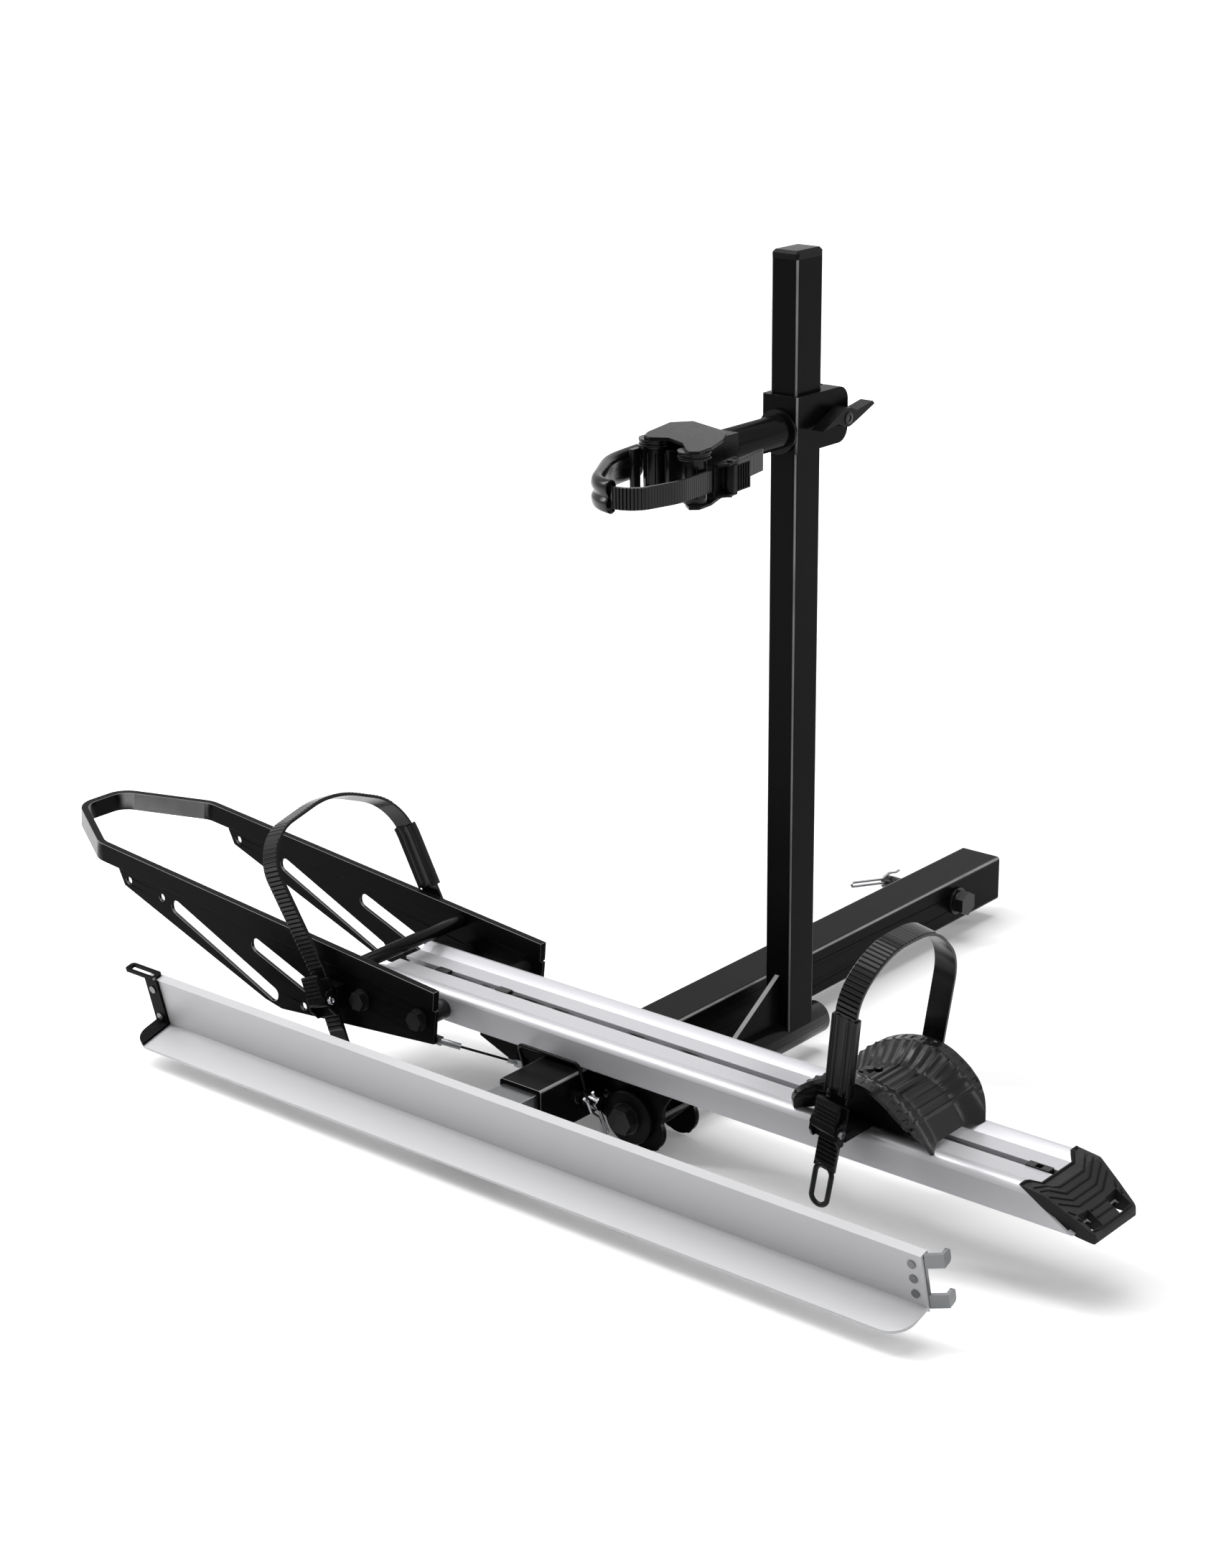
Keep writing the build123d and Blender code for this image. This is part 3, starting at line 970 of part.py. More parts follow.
def ramp():
    lean = math.radians(RAMP_LEAN)
    # In the ramp's own place X runs along it, Y up its wall and Z towards the viewer.
    place = Plane(origin=(0, RAMP_FOLD_Y, RAMP_FOLD_Z), x_dir=(1, 0, 0),
                  z_dir=(0, -math.cos(lean), -math.sin(lean))).location
    turn = 90 - RAMP_FLANGE_DROP + RAMP_LEAN
    fold = Rot(-turn, 0, 0)
    wall = block(RAMP_X0, RAMP_X1, 0, RAMP_WALL_H, 0, RAMP_T)
    flange = block(RAMP_X0, RAMP_X1, -RAMP_FLANGE, 0, 0, RAMP_T)
    flange = fillet(flange.edges().filter_by(Axis.Z).group_by(Axis.Y)[0], RAMP_CORNER)
    lip = block(RAMP_X0, RAMP_X1, RAMP_WALL_H - RAMP_T, RAMP_WALL_H, -RAMP_LIP, RAMP_T)
    bend = rod("x", RAMP_X0, RAMP_X1, 0, 0, RAMP_T) & block(RAMP_X0, RAMP_X1, -RAMP_T, RAMP_T, 0, RAMP_T)
    left_rivets = [(RAMP_X0 + BRACKET_W / 2, part * RAMP_WALL_H) for part in (0.22, 0.8)]
    right_rivets = [(RAMP_X1 - 10, part * RAMP_WALL_H) for part in (0.25, 0.53, 0.8)]
    channel = wall + fold * flange + lip + bend
    for x, v in left_rivets + right_rivets:
        channel -= rod("z", -1, RAMP_T + 1, x, v, RIVET_R)
    put("ramp_channel", place * channel)

    top = RAMP_WALL_H
    front = RAMP_T + BRACKET_T
    strip = block(RAMP_X0, RAMP_X0 + BRACKET_W, 0, top, RAMP_T, front)
    leg = (Pos(0, 0, BRACKET_T) * flange) & block(RAMP_X0, RAMP_X0 + BRACKET_W, -RAMP_FLANGE, 0, RAMP_T,
                                                  front)
    tab = block(RAMP_X0 - TAB_OUT, RAMP_X0 + TAB_IN, top, top + BRACKET_T, front - TAB_W, front)
    tab = fillet(tab.edges().filter_by(Axis.Y), TAB_W / 3)
    slot_front = front - (TAB_W - TAB_SLOT_W) / 2
    tab -= block(RAMP_X0 - TAB_OUT + TAB_RIM, RAMP_X0 + TAB_IN - TAB_RIM, top - 1, top + BRACKET_T + 1,
                 slot_front - TAB_SLOT_W, slot_front)
    bracket_body = (strip + fold * leg + tab) - channel
    for x, v in left_rivets:
        bracket_body -= rod("z", 0, front + 1, x, v, RIVET_R)
    put("ramp_end_bracket", place * bracket_body)

    end = RAMP_X1 + 1
    first = (top - HOOK_SPACING - HOOK_W) / 2
    plate = block(end - HOOK_PLATE_L, end, first, top - RAMP_T - 1, -HOOK_T, 0)
    for v0 in (first, first + HOOK_SPACING):
        v1 = v0 + HOOK_W
        tip = block(0, HOOK_TIP, v0, v1, -HOOK_T, 0)
        tip = fillet(tip.edges().filter_by(Axis.Z).group_by(Axis.X)[-1], HOOK_TIP_CORNER)
        hook = block(0, HOOK_L, v0, v1, -HOOK_T, 0) + Pos(HOOK_L, 0, 0) * Rot(0, HOOK_BEND, 0) * tip
        plate += Pos(end, 0, 0) * Rot(0, HOOK_LEAN, 0) * hook
    for x, v in right_rivets:
        plate -= rod("z", -HOOK_T - 1, 1, x, v, RIVET_R)
    put("ramp_hooks", place * plate)

    rivets = []
    for x, v in left_rivets:
        head = rod("z", front, front + RIVET_HEAD, x, v, RIVET_HEAD_R)
        rivets.append(place * (rod("z", 0, front, x, v, RIVET_R) + head))
    for x, v in right_rivets:
        head = rod("z", RAMP_T, RAMP_T + RIVET_HEAD, x, v, RIVET_HEAD_R)
        rivets.append(place * (rod("z", -HOOK_T, RAMP_T, x, v, RIVET_R) + head))
    put("ramp_rivets", *rivets)

    carrier = block(-CARRIER_HALF, CARRIER_HALF, STUB_FRONT - CARRIER_T, STUB_FRONT, CARRIER_BOTTOM,
                    CARRIER_TOP)
    put("ramp_carrier", carrier)
    before_wall = place * block(RAMP_X0, RAMP_X1, -RAMP_WALL_H, 2 * RAMP_WALL_H, 0, RAMP_WALL_H)
    tongue0 = STUB_FRONT + GAP
    hangers = []
    for x in (-HANGER_X, HANGER_X):
        a = x - HANGER_W / 2
        b = x + HANGER_W / 2
        leaf = place * block(a, b, 20, RAMP_WALL_H - RAMP_T - 2, -HANGER_T, 0)
        bridge = block(a, b, RAMP_FOLD_Y - 12, tongue0 + HANGER_T, CARRIER_TOP + GAP,
                       CARRIER_TOP + GAP + HANGER_T)
        tongue = block(a, b, tongue0, tongue0 + HANGER_T, CARRIER_TOP - HANGER_DROP, CARRIER_TOP + GAP)
        hangers.append((leaf + bridge + tongue) - before_wall)
    put("ramp_hangers", *hangers)


def build_all():
    hitch_tube()
    stub_tube()
    hitch_bolt()
    lock_pin()
    bracket()
    rail()
    rail_end_cap()
    cradle()
    cable()
    mast()
    collar_and_arm()
    clamp_head()
    front_strap()
    rear_strap()
    tray()
    frame_strap()
    ramp()


build_all()
os.makedirs("parts", exist_ok=True)
for name, shape in PARTS.items():
    export_step(shape, f"parts/{name}.step")
print(len(PARTS), "nodes")
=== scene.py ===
import math

import bpy
import bmesh
from mathutils import Matrix, Vector
from mathutils.bvhtree import BVHTree


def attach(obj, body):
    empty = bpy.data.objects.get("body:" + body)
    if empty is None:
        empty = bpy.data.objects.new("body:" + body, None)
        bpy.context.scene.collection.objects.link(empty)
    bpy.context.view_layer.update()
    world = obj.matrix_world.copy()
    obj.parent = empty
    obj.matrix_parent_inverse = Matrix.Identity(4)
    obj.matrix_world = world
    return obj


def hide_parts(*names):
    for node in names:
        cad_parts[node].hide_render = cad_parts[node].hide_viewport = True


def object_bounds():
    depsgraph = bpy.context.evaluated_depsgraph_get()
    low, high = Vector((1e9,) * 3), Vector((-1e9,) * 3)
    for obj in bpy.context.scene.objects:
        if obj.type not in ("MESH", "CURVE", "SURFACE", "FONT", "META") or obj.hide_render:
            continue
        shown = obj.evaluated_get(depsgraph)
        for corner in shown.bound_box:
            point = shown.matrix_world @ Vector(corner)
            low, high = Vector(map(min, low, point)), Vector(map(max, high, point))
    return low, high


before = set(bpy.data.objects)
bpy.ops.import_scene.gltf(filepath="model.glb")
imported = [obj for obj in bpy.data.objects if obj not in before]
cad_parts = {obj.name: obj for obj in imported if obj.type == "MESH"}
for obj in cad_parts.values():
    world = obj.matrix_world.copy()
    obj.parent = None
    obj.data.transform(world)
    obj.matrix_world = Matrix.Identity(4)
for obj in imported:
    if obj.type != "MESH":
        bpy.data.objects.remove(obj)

bl_info = {
    "name": "Hitch rack finish",
    "version": (1, 0, 0),
    "blender": (4, 5, 0),
    "location": "View3D > Sidebar > Rack",
    "description": "Dresses the packed hitch e-bike rack and sets its stage",
    "category": "Object",
}

# The rack's frame: X along the wheel rail, Y along the hitch tube, Z up, in metres.
RAIL_Y = -0.593
RAIL_TOP = 0.0614
CAD_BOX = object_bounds()

# Places of the tray's arch, repeated from the part
TRAY_X = 0.346
TRAY_Y = -0.596
TRAY_AXIS_Z = 0.0274
TRAY_R = 0.072
TRAY_DEPTH = 0.015
TRAY_HALF = 0.060
TRAY_LIP = 0.048
TRAY_FLOOR = 0.018
TRAY_CORNER = 0.034    # rounding of the tray's corners, seen from above
TRAY_WALL = 0.0036
RIDGE_END = 0.0475     # from the tray's middle: where the ridges end, and where the rims' ticks lie
TICK_START = 0.0495
TICK_END = 0.0570
TICK_DEPTH = 0.0009
TRAY_BOLT_X = 0.321
TRAY_NUT_FOOT = 0.0906 # height of the foot of the bolt's nut
SLOT_MIDDLE = 0.318    # the tray's slot: its middle, half its straight run and its end radius
SLOT_HALF_RUN = 0.0115
SLOT_RADIUS = 0.0055

# The straps: their planes, section and buckles, repeated from the part
FRONT_LEAN = math.radians(22.0)
REAR_LEAN = math.radians(-10.0)
STRAP_W = 0.022
CLAMP_STRAP_W = 0.020
STRAP_T = 0.0026
FRONT_TAIL = 0.010     # untoothed end of the front strap, cut level
STRAP_END = 0.004      # untoothed ends of the others
SLEEVE_STEP = 0.004    # length of one step along a sleeve or a plain run of strap
RING_HALF_RUN = 0.0115 # half the straight run of the rear strap's ring
RING_BELOW = 0.0170    # from the strap's first end down to the ring's middle
CLAMP_Z = 0.591
CLAMP_SIDE = ((0.127, -0.615, CLAMP_Z), (0.119, -0.530, CLAMP_Z))
CLAMP_BUCKLE_AT = 0.81 # place of the frame buckle on that side of its strap
LEVER_TOP = 0.0132     # height of the levers' grip ribs over the strap's face
LEVER_HINGE_X = -0.003
LEVER_HINGE_Z = 0.008
BUCKLE_SIDE = 0.0151   # foot of a screw head, from the buckle's middle

# The end cap's sloping face: its height falls with the distance from the foot of the shoulder
CAP_FOOT_X = 0.529
CAP_FALL = 0.631
CAP_UNDER_Z = 0.0572   # just under the face at that place
SOCKET_X = 0.5605
SOCKET_Y = 0.02245

# Camera of the photograph
CAMERA_PLACE = (1.63796, -2.51604, 1.17308)
CAMERA_AZIMUTH = 39.987
CAMERA_RISE = 19.219
CAMERA_ROLL = -0.6126
CAMERA_LENS = 66.535


def colour(name, description, value):
    return bpy.props.FloatVectorProperty(name=name, description=description, subtype="COLOR", size=3,
                                         min=0.0, max=1.0, default=value)


def distance(name, description, value, least, most):
    return bpy.props.FloatProperty(name=name, description=description, subtype="DISTANCE", unit="LENGTH",
                                   default=value, min=least, max=most)


class RackFinish(bpy.types.PropertyGroup):
    """Colours of the rack's finishes."""

    powder: colour("Powder coat", "Colour of the painted steel", (0.0026, 0.0026, 0.0029))
    plastic: colour("Plastic", "Colour of the moulded parts and straps", (0.0032, 0.0032, 0.0035))
    rubber: colour("Rubber", "Colour of the sleeves, posts and pads", (0.0038, 0.0038, 0.0038))
    rail: colour("Rail", "Colour of the anodised rail", (0.50, 0.50, 0.52))
    ramp: colour("Ramp", "Colour of the ramp's sheet", (0.46, 0.46, 0.47))
    zinc: colour("Zinc", "Colour of the plated steel", (0.17, 0.175, 0.18))


class RackSizes(bpy.types.PropertyGroup):
    """Sizes of the details that the finish adds."""

    edge: distance("Edge", "Rounding of the steel and plastic edges", 0.0007, 0.0, 0.003)
    tooth_pitch: distance("Tooth pitch", "Distance between two strap teeth", 0.0046, 0.003, 0.01)
    tooth_depth: distance("Tooth depth", "Height of the strap teeth", 0.0011, 0.0003, 0.002)
    clamp_pitch: distance("Clamp tooth pitch", "Distance between the clamp strap's teeth", 0.0030, 0.002,
                          0.01)
    ridge_pitch: distance("Ridge pitch", "Distance between the tray's ridges", 0.0086, 0.004, 0.02)
    ridge_depth: distance("Ridge depth", "Height of the tray's ridges", 0.0018, 0.0, 0.003)
    rib: distance("Cap rib", "Thickness of the ribs on the rail's end cap", 0.0020, 0.0005, 0.003)


def finish_values():
    return bpy.context.scene.rack_finish


def size_values():
    return bpy.context.scene.rack_sizes


# Shared shader groups

NUMBER = "NodeSocketFloat"
COLOUR = "NodeSocketColor"


def new_group(name, inputs, outputs):
    group = bpy.data.node_groups.new(name, "ShaderNodeTree")
    for label, kind, value in inputs:
        socket = group.interface.new_socket(name=label, in_out="INPUT", socket_type=kind)
        socket.default_value = value
    for label, kind in outputs:
        group.interface.new_socket(name=label, in_out="OUTPUT", socket_type=kind)
    start = group.nodes.new("NodeGroupInput")
    end = group.nodes.new("NodeGroupOutput")
    return group, start, end


def maths(nodes, links, operation, *values):
    node = nodes.new("ShaderNodeMath")
    node.operation = operation
    for index, value in enumerate(values):
        if isinstance(value, (int, float)):
            node.inputs[index].default_value = value
        else:
            links.new(value, node.inputs[index])
    return node.outputs[0]


def grain_group():
    """Fine grain of a moulded or sprayed surface, with a slow drift in gloss."""
    group, start, end = new_group(
        "Surface grain",
        [("Scale", NUMBER, 900.0), ("Gloss", NUMBER, 0.4), ("Drift", NUMBER, 0.1)],
        [("Roughness", NUMBER), ("Height", NUMBER)])
    nodes, links = group.nodes, group.links
    place = nodes.new("ShaderNodeTexCoord")
    fine = nodes.new("ShaderNodeTexNoise")
    fine.inputs["Detail"].default_value = 3.0
    fine.inputs["Roughness"].default_value = 0.6
    links.new(place.outputs["Object"], fine.inputs["Vector"])
    links.new(start.outputs["Scale"], fine.inputs["Scale"])
    slow = nodes.new("ShaderNodeTexNoise")
    slow.inputs["Scale"].default_value = 18.0
    slow.inputs["Detail"].default_value = 4.0
    links.new(place.outputs["Object"], slow.inputs["Vector"])
    centred = maths(nodes, links, "SUBTRACT", slow.outputs["Fac"], 0.5)
    swing = maths(nodes, links, "MULTIPLY", centred, start.outputs["Drift"])
    total = maths(nodes, links, "ADD", swing, start.outputs["Gloss"])
    links.new(total, end.inputs["Roughness"])
    links.new(fine.outputs["Fac"], end.inputs["Height"])


def lines_group():
    """Fine drawn lines along X, as on an extruded or rolled metal surface."""
    group, start, end = new_group(
        "Drawn lines",
        [("Across", NUMBER, 900.0), ("Along", NUMBER, 4.0), ("Gloss", NUMBER, 0.3),
         ("Drift", NUMBER, 0.15)],
        [("Roughness", NUMBER), ("Height", NUMBER)])
    nodes, links = group.nodes, group.links
    place = nodes.new("ShaderNodeTexCoord")
    parts = nodes.new("ShaderNodeSeparateXYZ")
    links.new(place.outputs["Object"], parts.inputs[0])
    joined = nodes.new("ShaderNodeCombineXYZ")
    links.new(maths(nodes, links, "MULTIPLY", parts.outputs[0], start.outputs["Along"]), joined.inputs[0])
    links.new(maths(nodes, links, "MULTIPLY", parts.outputs[1], start.outputs["Across"]), joined.inputs[1])
    links.new(maths(nodes, links, "MULTIPLY", parts.outputs[2], start.outputs["Across"]), joined.inputs[2])
    lines = nodes.new("ShaderNodeTexNoise")
    lines.inputs["Scale"].default_value = 1.0
    lines.inputs["Detail"].default_value = 2.0
    links.new(joined.outputs[0], lines.inputs["Vector"])
    centred = maths(nodes, links, "SUBTRACT", lines.outputs["Fac"], 0.5)
    swing = maths(nodes, links, "MULTIPLY", centred, start.outputs["Drift"])
    links.new(maths(nodes, links, "ADD", swing, start.outputs["Gloss"]), end.inputs["Roughness"])
    links.new(lines.outputs["Fac"], end.inputs["Height"])


def dust_group():
    """A thin, uneven film that lightens the upper faces and leaves the colour under it."""
    group, start, end = new_group(
        "Dust film",
        [("Colour", COLOUR, (0.01, 0.01, 0.01, 1.0)), ("Film", COLOUR, (0.1, 0.1, 0.1, 1.0)),
         ("Amount", NUMBER, 0.1), ("Scale", NUMBER, 30.0)],
        [("Colour", COLOUR)])
    nodes, links = group.nodes, group.links
    place = nodes.new("ShaderNodeTexCoord")
    cloud = nodes.new("ShaderNodeTexNoise")
    cloud.inputs["Detail"].default_value = 6.0
    cloud.inputs["Roughness"].default_value = 0.65
    links.new(place.outputs["Object"], cloud.inputs["Vector"])
    links.new(start.outputs["Scale"], cloud.inputs["Scale"])
    turned = nodes.new("ShaderNodeNewGeometry")
    up = nodes.new("ShaderNodeSeparateXYZ")
    links.new(turned.outputs["Normal"], up.inputs[0])
    upper = maths(nodes, links, "MAXIMUM", up.outputs[2], 0.25)
    mask = maths(nodes, links, "MULTIPLY", cloud.outputs["Fac"], upper)
    amount = maths(nodes, links, "MULTIPLY", mask, start.outputs["Amount"])
    blend = nodes.new("ShaderNodeMix")
    blend.data_type = "RGBA"
    links.new(amount, blend.inputs[0])
    links.new(start.outputs["Colour"], blend.inputs[6])
    links.new(start.outputs["Film"], blend.inputs[7])
    links.new(blend.outputs[2], end.inputs["Colour"])


def corner_highlight_group():
    """Painted highlight: a light colour painted where a square tube or plate turns from one face to the
    next, broken up by noise, standing in for the reflections along its edges.
    """
    group, start, end = new_group(
        "Rubbed corners",
        [("Colour", COLOUR, (0.01, 0.01, 0.01, 1.0)), ("Highlight colour", COLOUR, (0.3, 0.3, 0.3, 1.0)),
         ("Amount", NUMBER, 0.6)],
        [("Colour", COLOUR)])
    nodes, links = group.nodes, group.links
    shape = nodes.new("ShaderNodeNewGeometry")
    own = nodes.new("ShaderNodeVectorTransform")
    own.vector_type = "NORMAL"
    own.convert_from = "WORLD"
    own.convert_to = "OBJECT"
    links.new(shape.outputs["Normal"], own.inputs[0])
    parts = nodes.new("ShaderNodeSeparateXYZ")
    links.new(own.outputs[0], parts.inputs[0])
    sides = [maths(nodes, links, "ABSOLUTE", parts.outputs[index]) for index in range(3)]
    flat = maths(nodes, links, "MAXIMUM", maths(nodes, links, "MAXIMUM", sides[0], sides[1]), sides[2])
    corner = nodes.new("ShaderNodeMapRange")
    corner.interpolation_type = "SMOOTHSTEP"
    corner.inputs["From Min"].default_value = 0.97
    corner.inputs["From Max"].default_value = 0.82
    links.new(flat, corner.inputs["Value"])
    place = nodes.new("ShaderNodeTexCoord")
    patch = nodes.new("ShaderNodeTexNoise")
    patch.inputs["Scale"].default_value = 22.0
    patch.inputs["Detail"].default_value = 5.0
    links.new(place.outputs["Object"], patch.inputs["Vector"])
    broken = maths(nodes, links, "MULTIPLY_ADD", patch.outputs["Fac"], 0.9, 0.35)
    # Painted highlight: only corners that face sideways or up get the light colour.
    upper = nodes.new("ShaderNodeMapRange")
    upper.interpolation_type = "SMOOTHSTEP"
    upper.inputs["From Min"].default_value = -0.35
    upper.inputs["From Max"].default_value = 0.0
    links.new(parts.outputs[2], upper.inputs["Value"])
    corner_highlight = maths(nodes, links, "MULTIPLY", corner.outputs["Result"], upper.outputs["Result"])
    amount = maths(nodes, links, "MULTIPLY", maths(nodes, links, "MULTIPLY", corner_highlight, broken),
                   start.outputs["Amount"])
    blend = nodes.new("ShaderNodeMix")
    blend.data_type = "RGBA"
    blend.clamp_factor = True
    links.new(amount, blend.inputs[0])
    links.new(start.outputs["Colour"], blend.inputs[6])
    links.new(start.outputs["Highlight colour"], blend.inputs[7])
    links.new(blend.outputs[2], end.inputs["Colour"])


def finish_material(name, colour, film, amount, group_name, values, bump, metallic=0.0, specular=0.5,
                    corner_highlight=None):
    """A Principled material fed by the shared groups."""
    material = bpy.data.materials.new(name)
    material.use_nodes = True
    nodes, links = material.node_tree.nodes, material.node_tree.links
    shader = nodes["Principled BSDF"]
    shader.inputs["Metallic"].default_value = metallic
    shader.inputs["Specular IOR Level"].default_value = specular
    dust = nodes.new("ShaderNodeGroup")
    dust.node_tree = bpy.data.node_groups["Dust film"]
    dust.inputs["Colour"].default_value = (*colour, 1.0)
    dust.inputs["Film"].default_value = (*film, 1.0)
    dust.inputs["Amount"].default_value = amount
    # Painted highlight: a light colour mixed in along the corners, over the dust film.
    if corner_highlight:
        corners = nodes.new("ShaderNodeGroup")
        corners.node_tree = bpy.data.node_groups["Rubbed corners"]
        corners.inputs["Highlight colour"].default_value = (corner_highlight[0], corner_highlight[0], corner_highlight[0], 1.0)
        corners.inputs["Amount"].default_value = corner_highlight[1]
        links.new(dust.outputs["Colour"], corners.inputs["Colour"])
        links.new(corners.outputs["Colour"], shader.inputs["Base Color"])
    else:
        links.new(dust.outputs["Colour"], shader.inputs["Base Color"])
    surface = nodes.new("ShaderNodeGroup")
    surface.node_tree = bpy.data.node_groups[group_name]
    for key, value in values.items():
        surface.inputs[key].default_value = value
    links.new(surface.outputs["Roughness"], shader.inputs["Roughness"])
    relief = nodes.new("ShaderNodeBump")
    relief.inputs["Strength"].default_value = bump
    relief.inputs["Distance"].default_value = 0.0004
    links.new(surface.outputs["Height"], relief.inputs["Height"])
    links.new(relief.outputs["Normal"], shader.inputs["Normal"])


# Modelling helpers

def start_fresh():
    if bpy.context.object and bpy.context.object.mode != "OBJECT":
        bpy.ops.object.mode_set(mode="OBJECT")
    bpy.ops.object.select_all(action="DESELECT")


def only(piece):
    start_fresh()
    piece.select_set(True)
    bpy.context.view_layer.objects.active = piece


def settle(piece):
    """Applies the piece's place, and turns its faces outwards."""
    only(piece)
    bpy.ops.object.transform_apply(location=True, rotation=True, scale=True)
    bpy.ops.object.mode_set(mode="EDIT")
    bpy.ops.mesh.select_all(action="SELECT")
    bpy.ops.mesh.remove_doubles(threshold=0.00001)
    bpy.ops.mesh.normals_make_consistent(inside=False)
    bpy.ops.object.mode_set(mode="OBJECT")


def paint(piece, material):
    piece.data.materials.clear()
    piece.data.materials.append(bpy.data.materials[material])


def hand_over(piece, body, material, slot, *nodes):
    """Gives the finished piece its material and its body, and hides the nodes it stands for; the slot is
    not used.
    """
    paint(piece, material)
    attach(piece, body)
    if nodes:
        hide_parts(*nodes)


def apply_all(piece):
    only(piece)
    for modifier in list(piece.modifiers):
        bpy.ops.object.modifier_apply(modifier=modifier.name)


def pick_faces(piece, test):
    """Selects in edit mode the faces whose centre and normal pass the test."""
    mesh = bmesh.from_edit_mesh(piece.data)
    mesh.select_mode = {"FACE"}
    for face in mesh.faces:
        face.select_set(bool(test(face.calc_center_median(), face.normal)))
    mesh.select_flush_mode()
    bmesh.update_edit_mesh(piece.data)


def held(value):
    """The value, held between 0 and 1."""
    return min(max(value, 0.0), 1.0)


class Line:
    """A bent line in a plane: straight runs joined by arcs."""

    def __init__(self, points, radii, origin, u, v):
        self.origin, self.u, self.v = Vector(origin), Vector(u), Vector(v)
        self.width = self.u.cross(self.v).normalized()
        corners = [Vector(p) for p in points]
        self.runs = []
        at = corners[0]
        for index in range(1, len(corners) - 1):
            before = (corners[index] - corners[index - 1]).normalized()
            after = (corners[index + 1] - corners[index]).normalized()
            turn = math.atan2(before.x * after.y - before.y * after.x, before.dot(after))
            cut = abs(math.tan(turn / 2)) * radii[index - 1]
            first = corners[index] - before * cut
            self.runs.append(("run", (first - at).length, at, before, 0.0))
            self.runs.append(("arc", abs(turn) * radii[index - 1], first, before,
                              turn / abs(turn) / radii[index - 1]))
            at = corners[index] + after * cut
        last = corners[-1] - at
        self.runs.append(("run", last.length, at, last.normalized(), 0.0))
        self.length = sum(run[1] for run in self.runs)

    def at(self, s):
        """Point and direction at the distance s, in the plane."""
        for kind, length, start, way, bend in self.runs:
            if s <= length or (kind, length, start, way, bend) == self.runs[-1]:
                if kind == "run":
                    return start + way * s, way
                angle = bend * s
                side = Vector((-way.y, way.x))
                point = start + (way * math.sin(angle) + side * (1 - math.cos(angle))) / bend
                return point, way * math.cos(angle) + side * math.sin(angle)
            s -= length
        return None

    def place(self, s, across, out, side):
        """A point in the row frame: s along the line, across its width, and out from it."""
        point, way = self.at(s)
        normal = Vector((-way.y, way.x)) * side
        flat = point + normal * out
        return self.origin + self.u * flat.x + self.v * flat.y + self.width * across

    def span(self, test):
        """The stretch of the line, from and to, where its points pass the test."""
        step = 0.0005
        places = [index * step for index in range(int(self.length / step) + 1)]
        passed = [place for place in places if test(self.at(place)[0])]
        return passed[0], passed[-1]

    def wrap(self, piece, side):
        for vertex in piece.data.vertices:
            s, across, out = vertex.co
            vertex.co = self.place(s, across, out, side)


def strap_lines():
    """The three straps' centre lines, with their widths standing out of the plane."""
    front = Line([(-0.685, -0.045), (-0.685, 0.025), (-0.703, 0.136), (-0.688, 0.170), (-0.604, 0.188),
                  (-0.519, 0.155), (-0.503, 0.0)], [0.060, 0.040, 0.042, 0.110, 0.060],
                 (-0.262, 0.0, 0.040), (0, 1, 0), (-math.sin(FRONT_LEAN), 0, math.cos(FRONT_LEAN)))
    rear = Line([(-0.668, -0.030), (-0.668, 0.050), (-0.680, 0.146), (-0.645, 0.180), (-0.575, 0.180),
                 (-0.526, 0.136), (-0.521, 0.0003)], [0.180, 0.038, 0.068, 0.068, 0.058],
                (0.333, 0.0, RAIL_TOP), (0, 1, 0), (-math.sin(REAR_LEAN), 0, math.cos(REAR_LEAN)))
    clamp = Line([(0.052, -0.497), (0.018, -0.520), (0.027, -0.590), (0.070, -0.660), (0.114, -0.668),
                  (0.127, -0.615), (0.119, -0.530), (0.108, -0.472)],
                 [0.022, 0.090, 0.042, 0.024, 0.060, 0.080], (0.0, 0.0, CLAMP_Z), (1, 0, 0), (0, 1, 0))
    return front, rear, clamp


def profile_run(name, profile, stops):
    """A closed profile (across, out) carried along X through the stops by extruding."""
    start_fresh()
    bpy.ops.mesh.primitive_circle_add(vertices=len(profile), radius=0.01, fill_type="NGON")
    piece = bpy.context.object
    piece.name = name
    for vertex, (across, out) in zip(piece.data.vertices, profile):
        vertex.co = (stops[0], across, out)
    bpy.ops.object.mode_set(mode="EDIT")
    bpy.ops.mesh.select_all(action="SELECT")
    for before, after in zip(stops, stops[1:]):
        bpy.ops.mesh.extrude_region_move(TRANSFORM_OT_translate={"value": (after - before, 0, 0)})
    bpy.ops.object.mode_set(mode="OBJECT")
    return piece


def steps(start, end, spacing):
    count = max(1, round((end - start) / spacing))
    return [start + (end - start) * index / count for index in range(count + 1)]


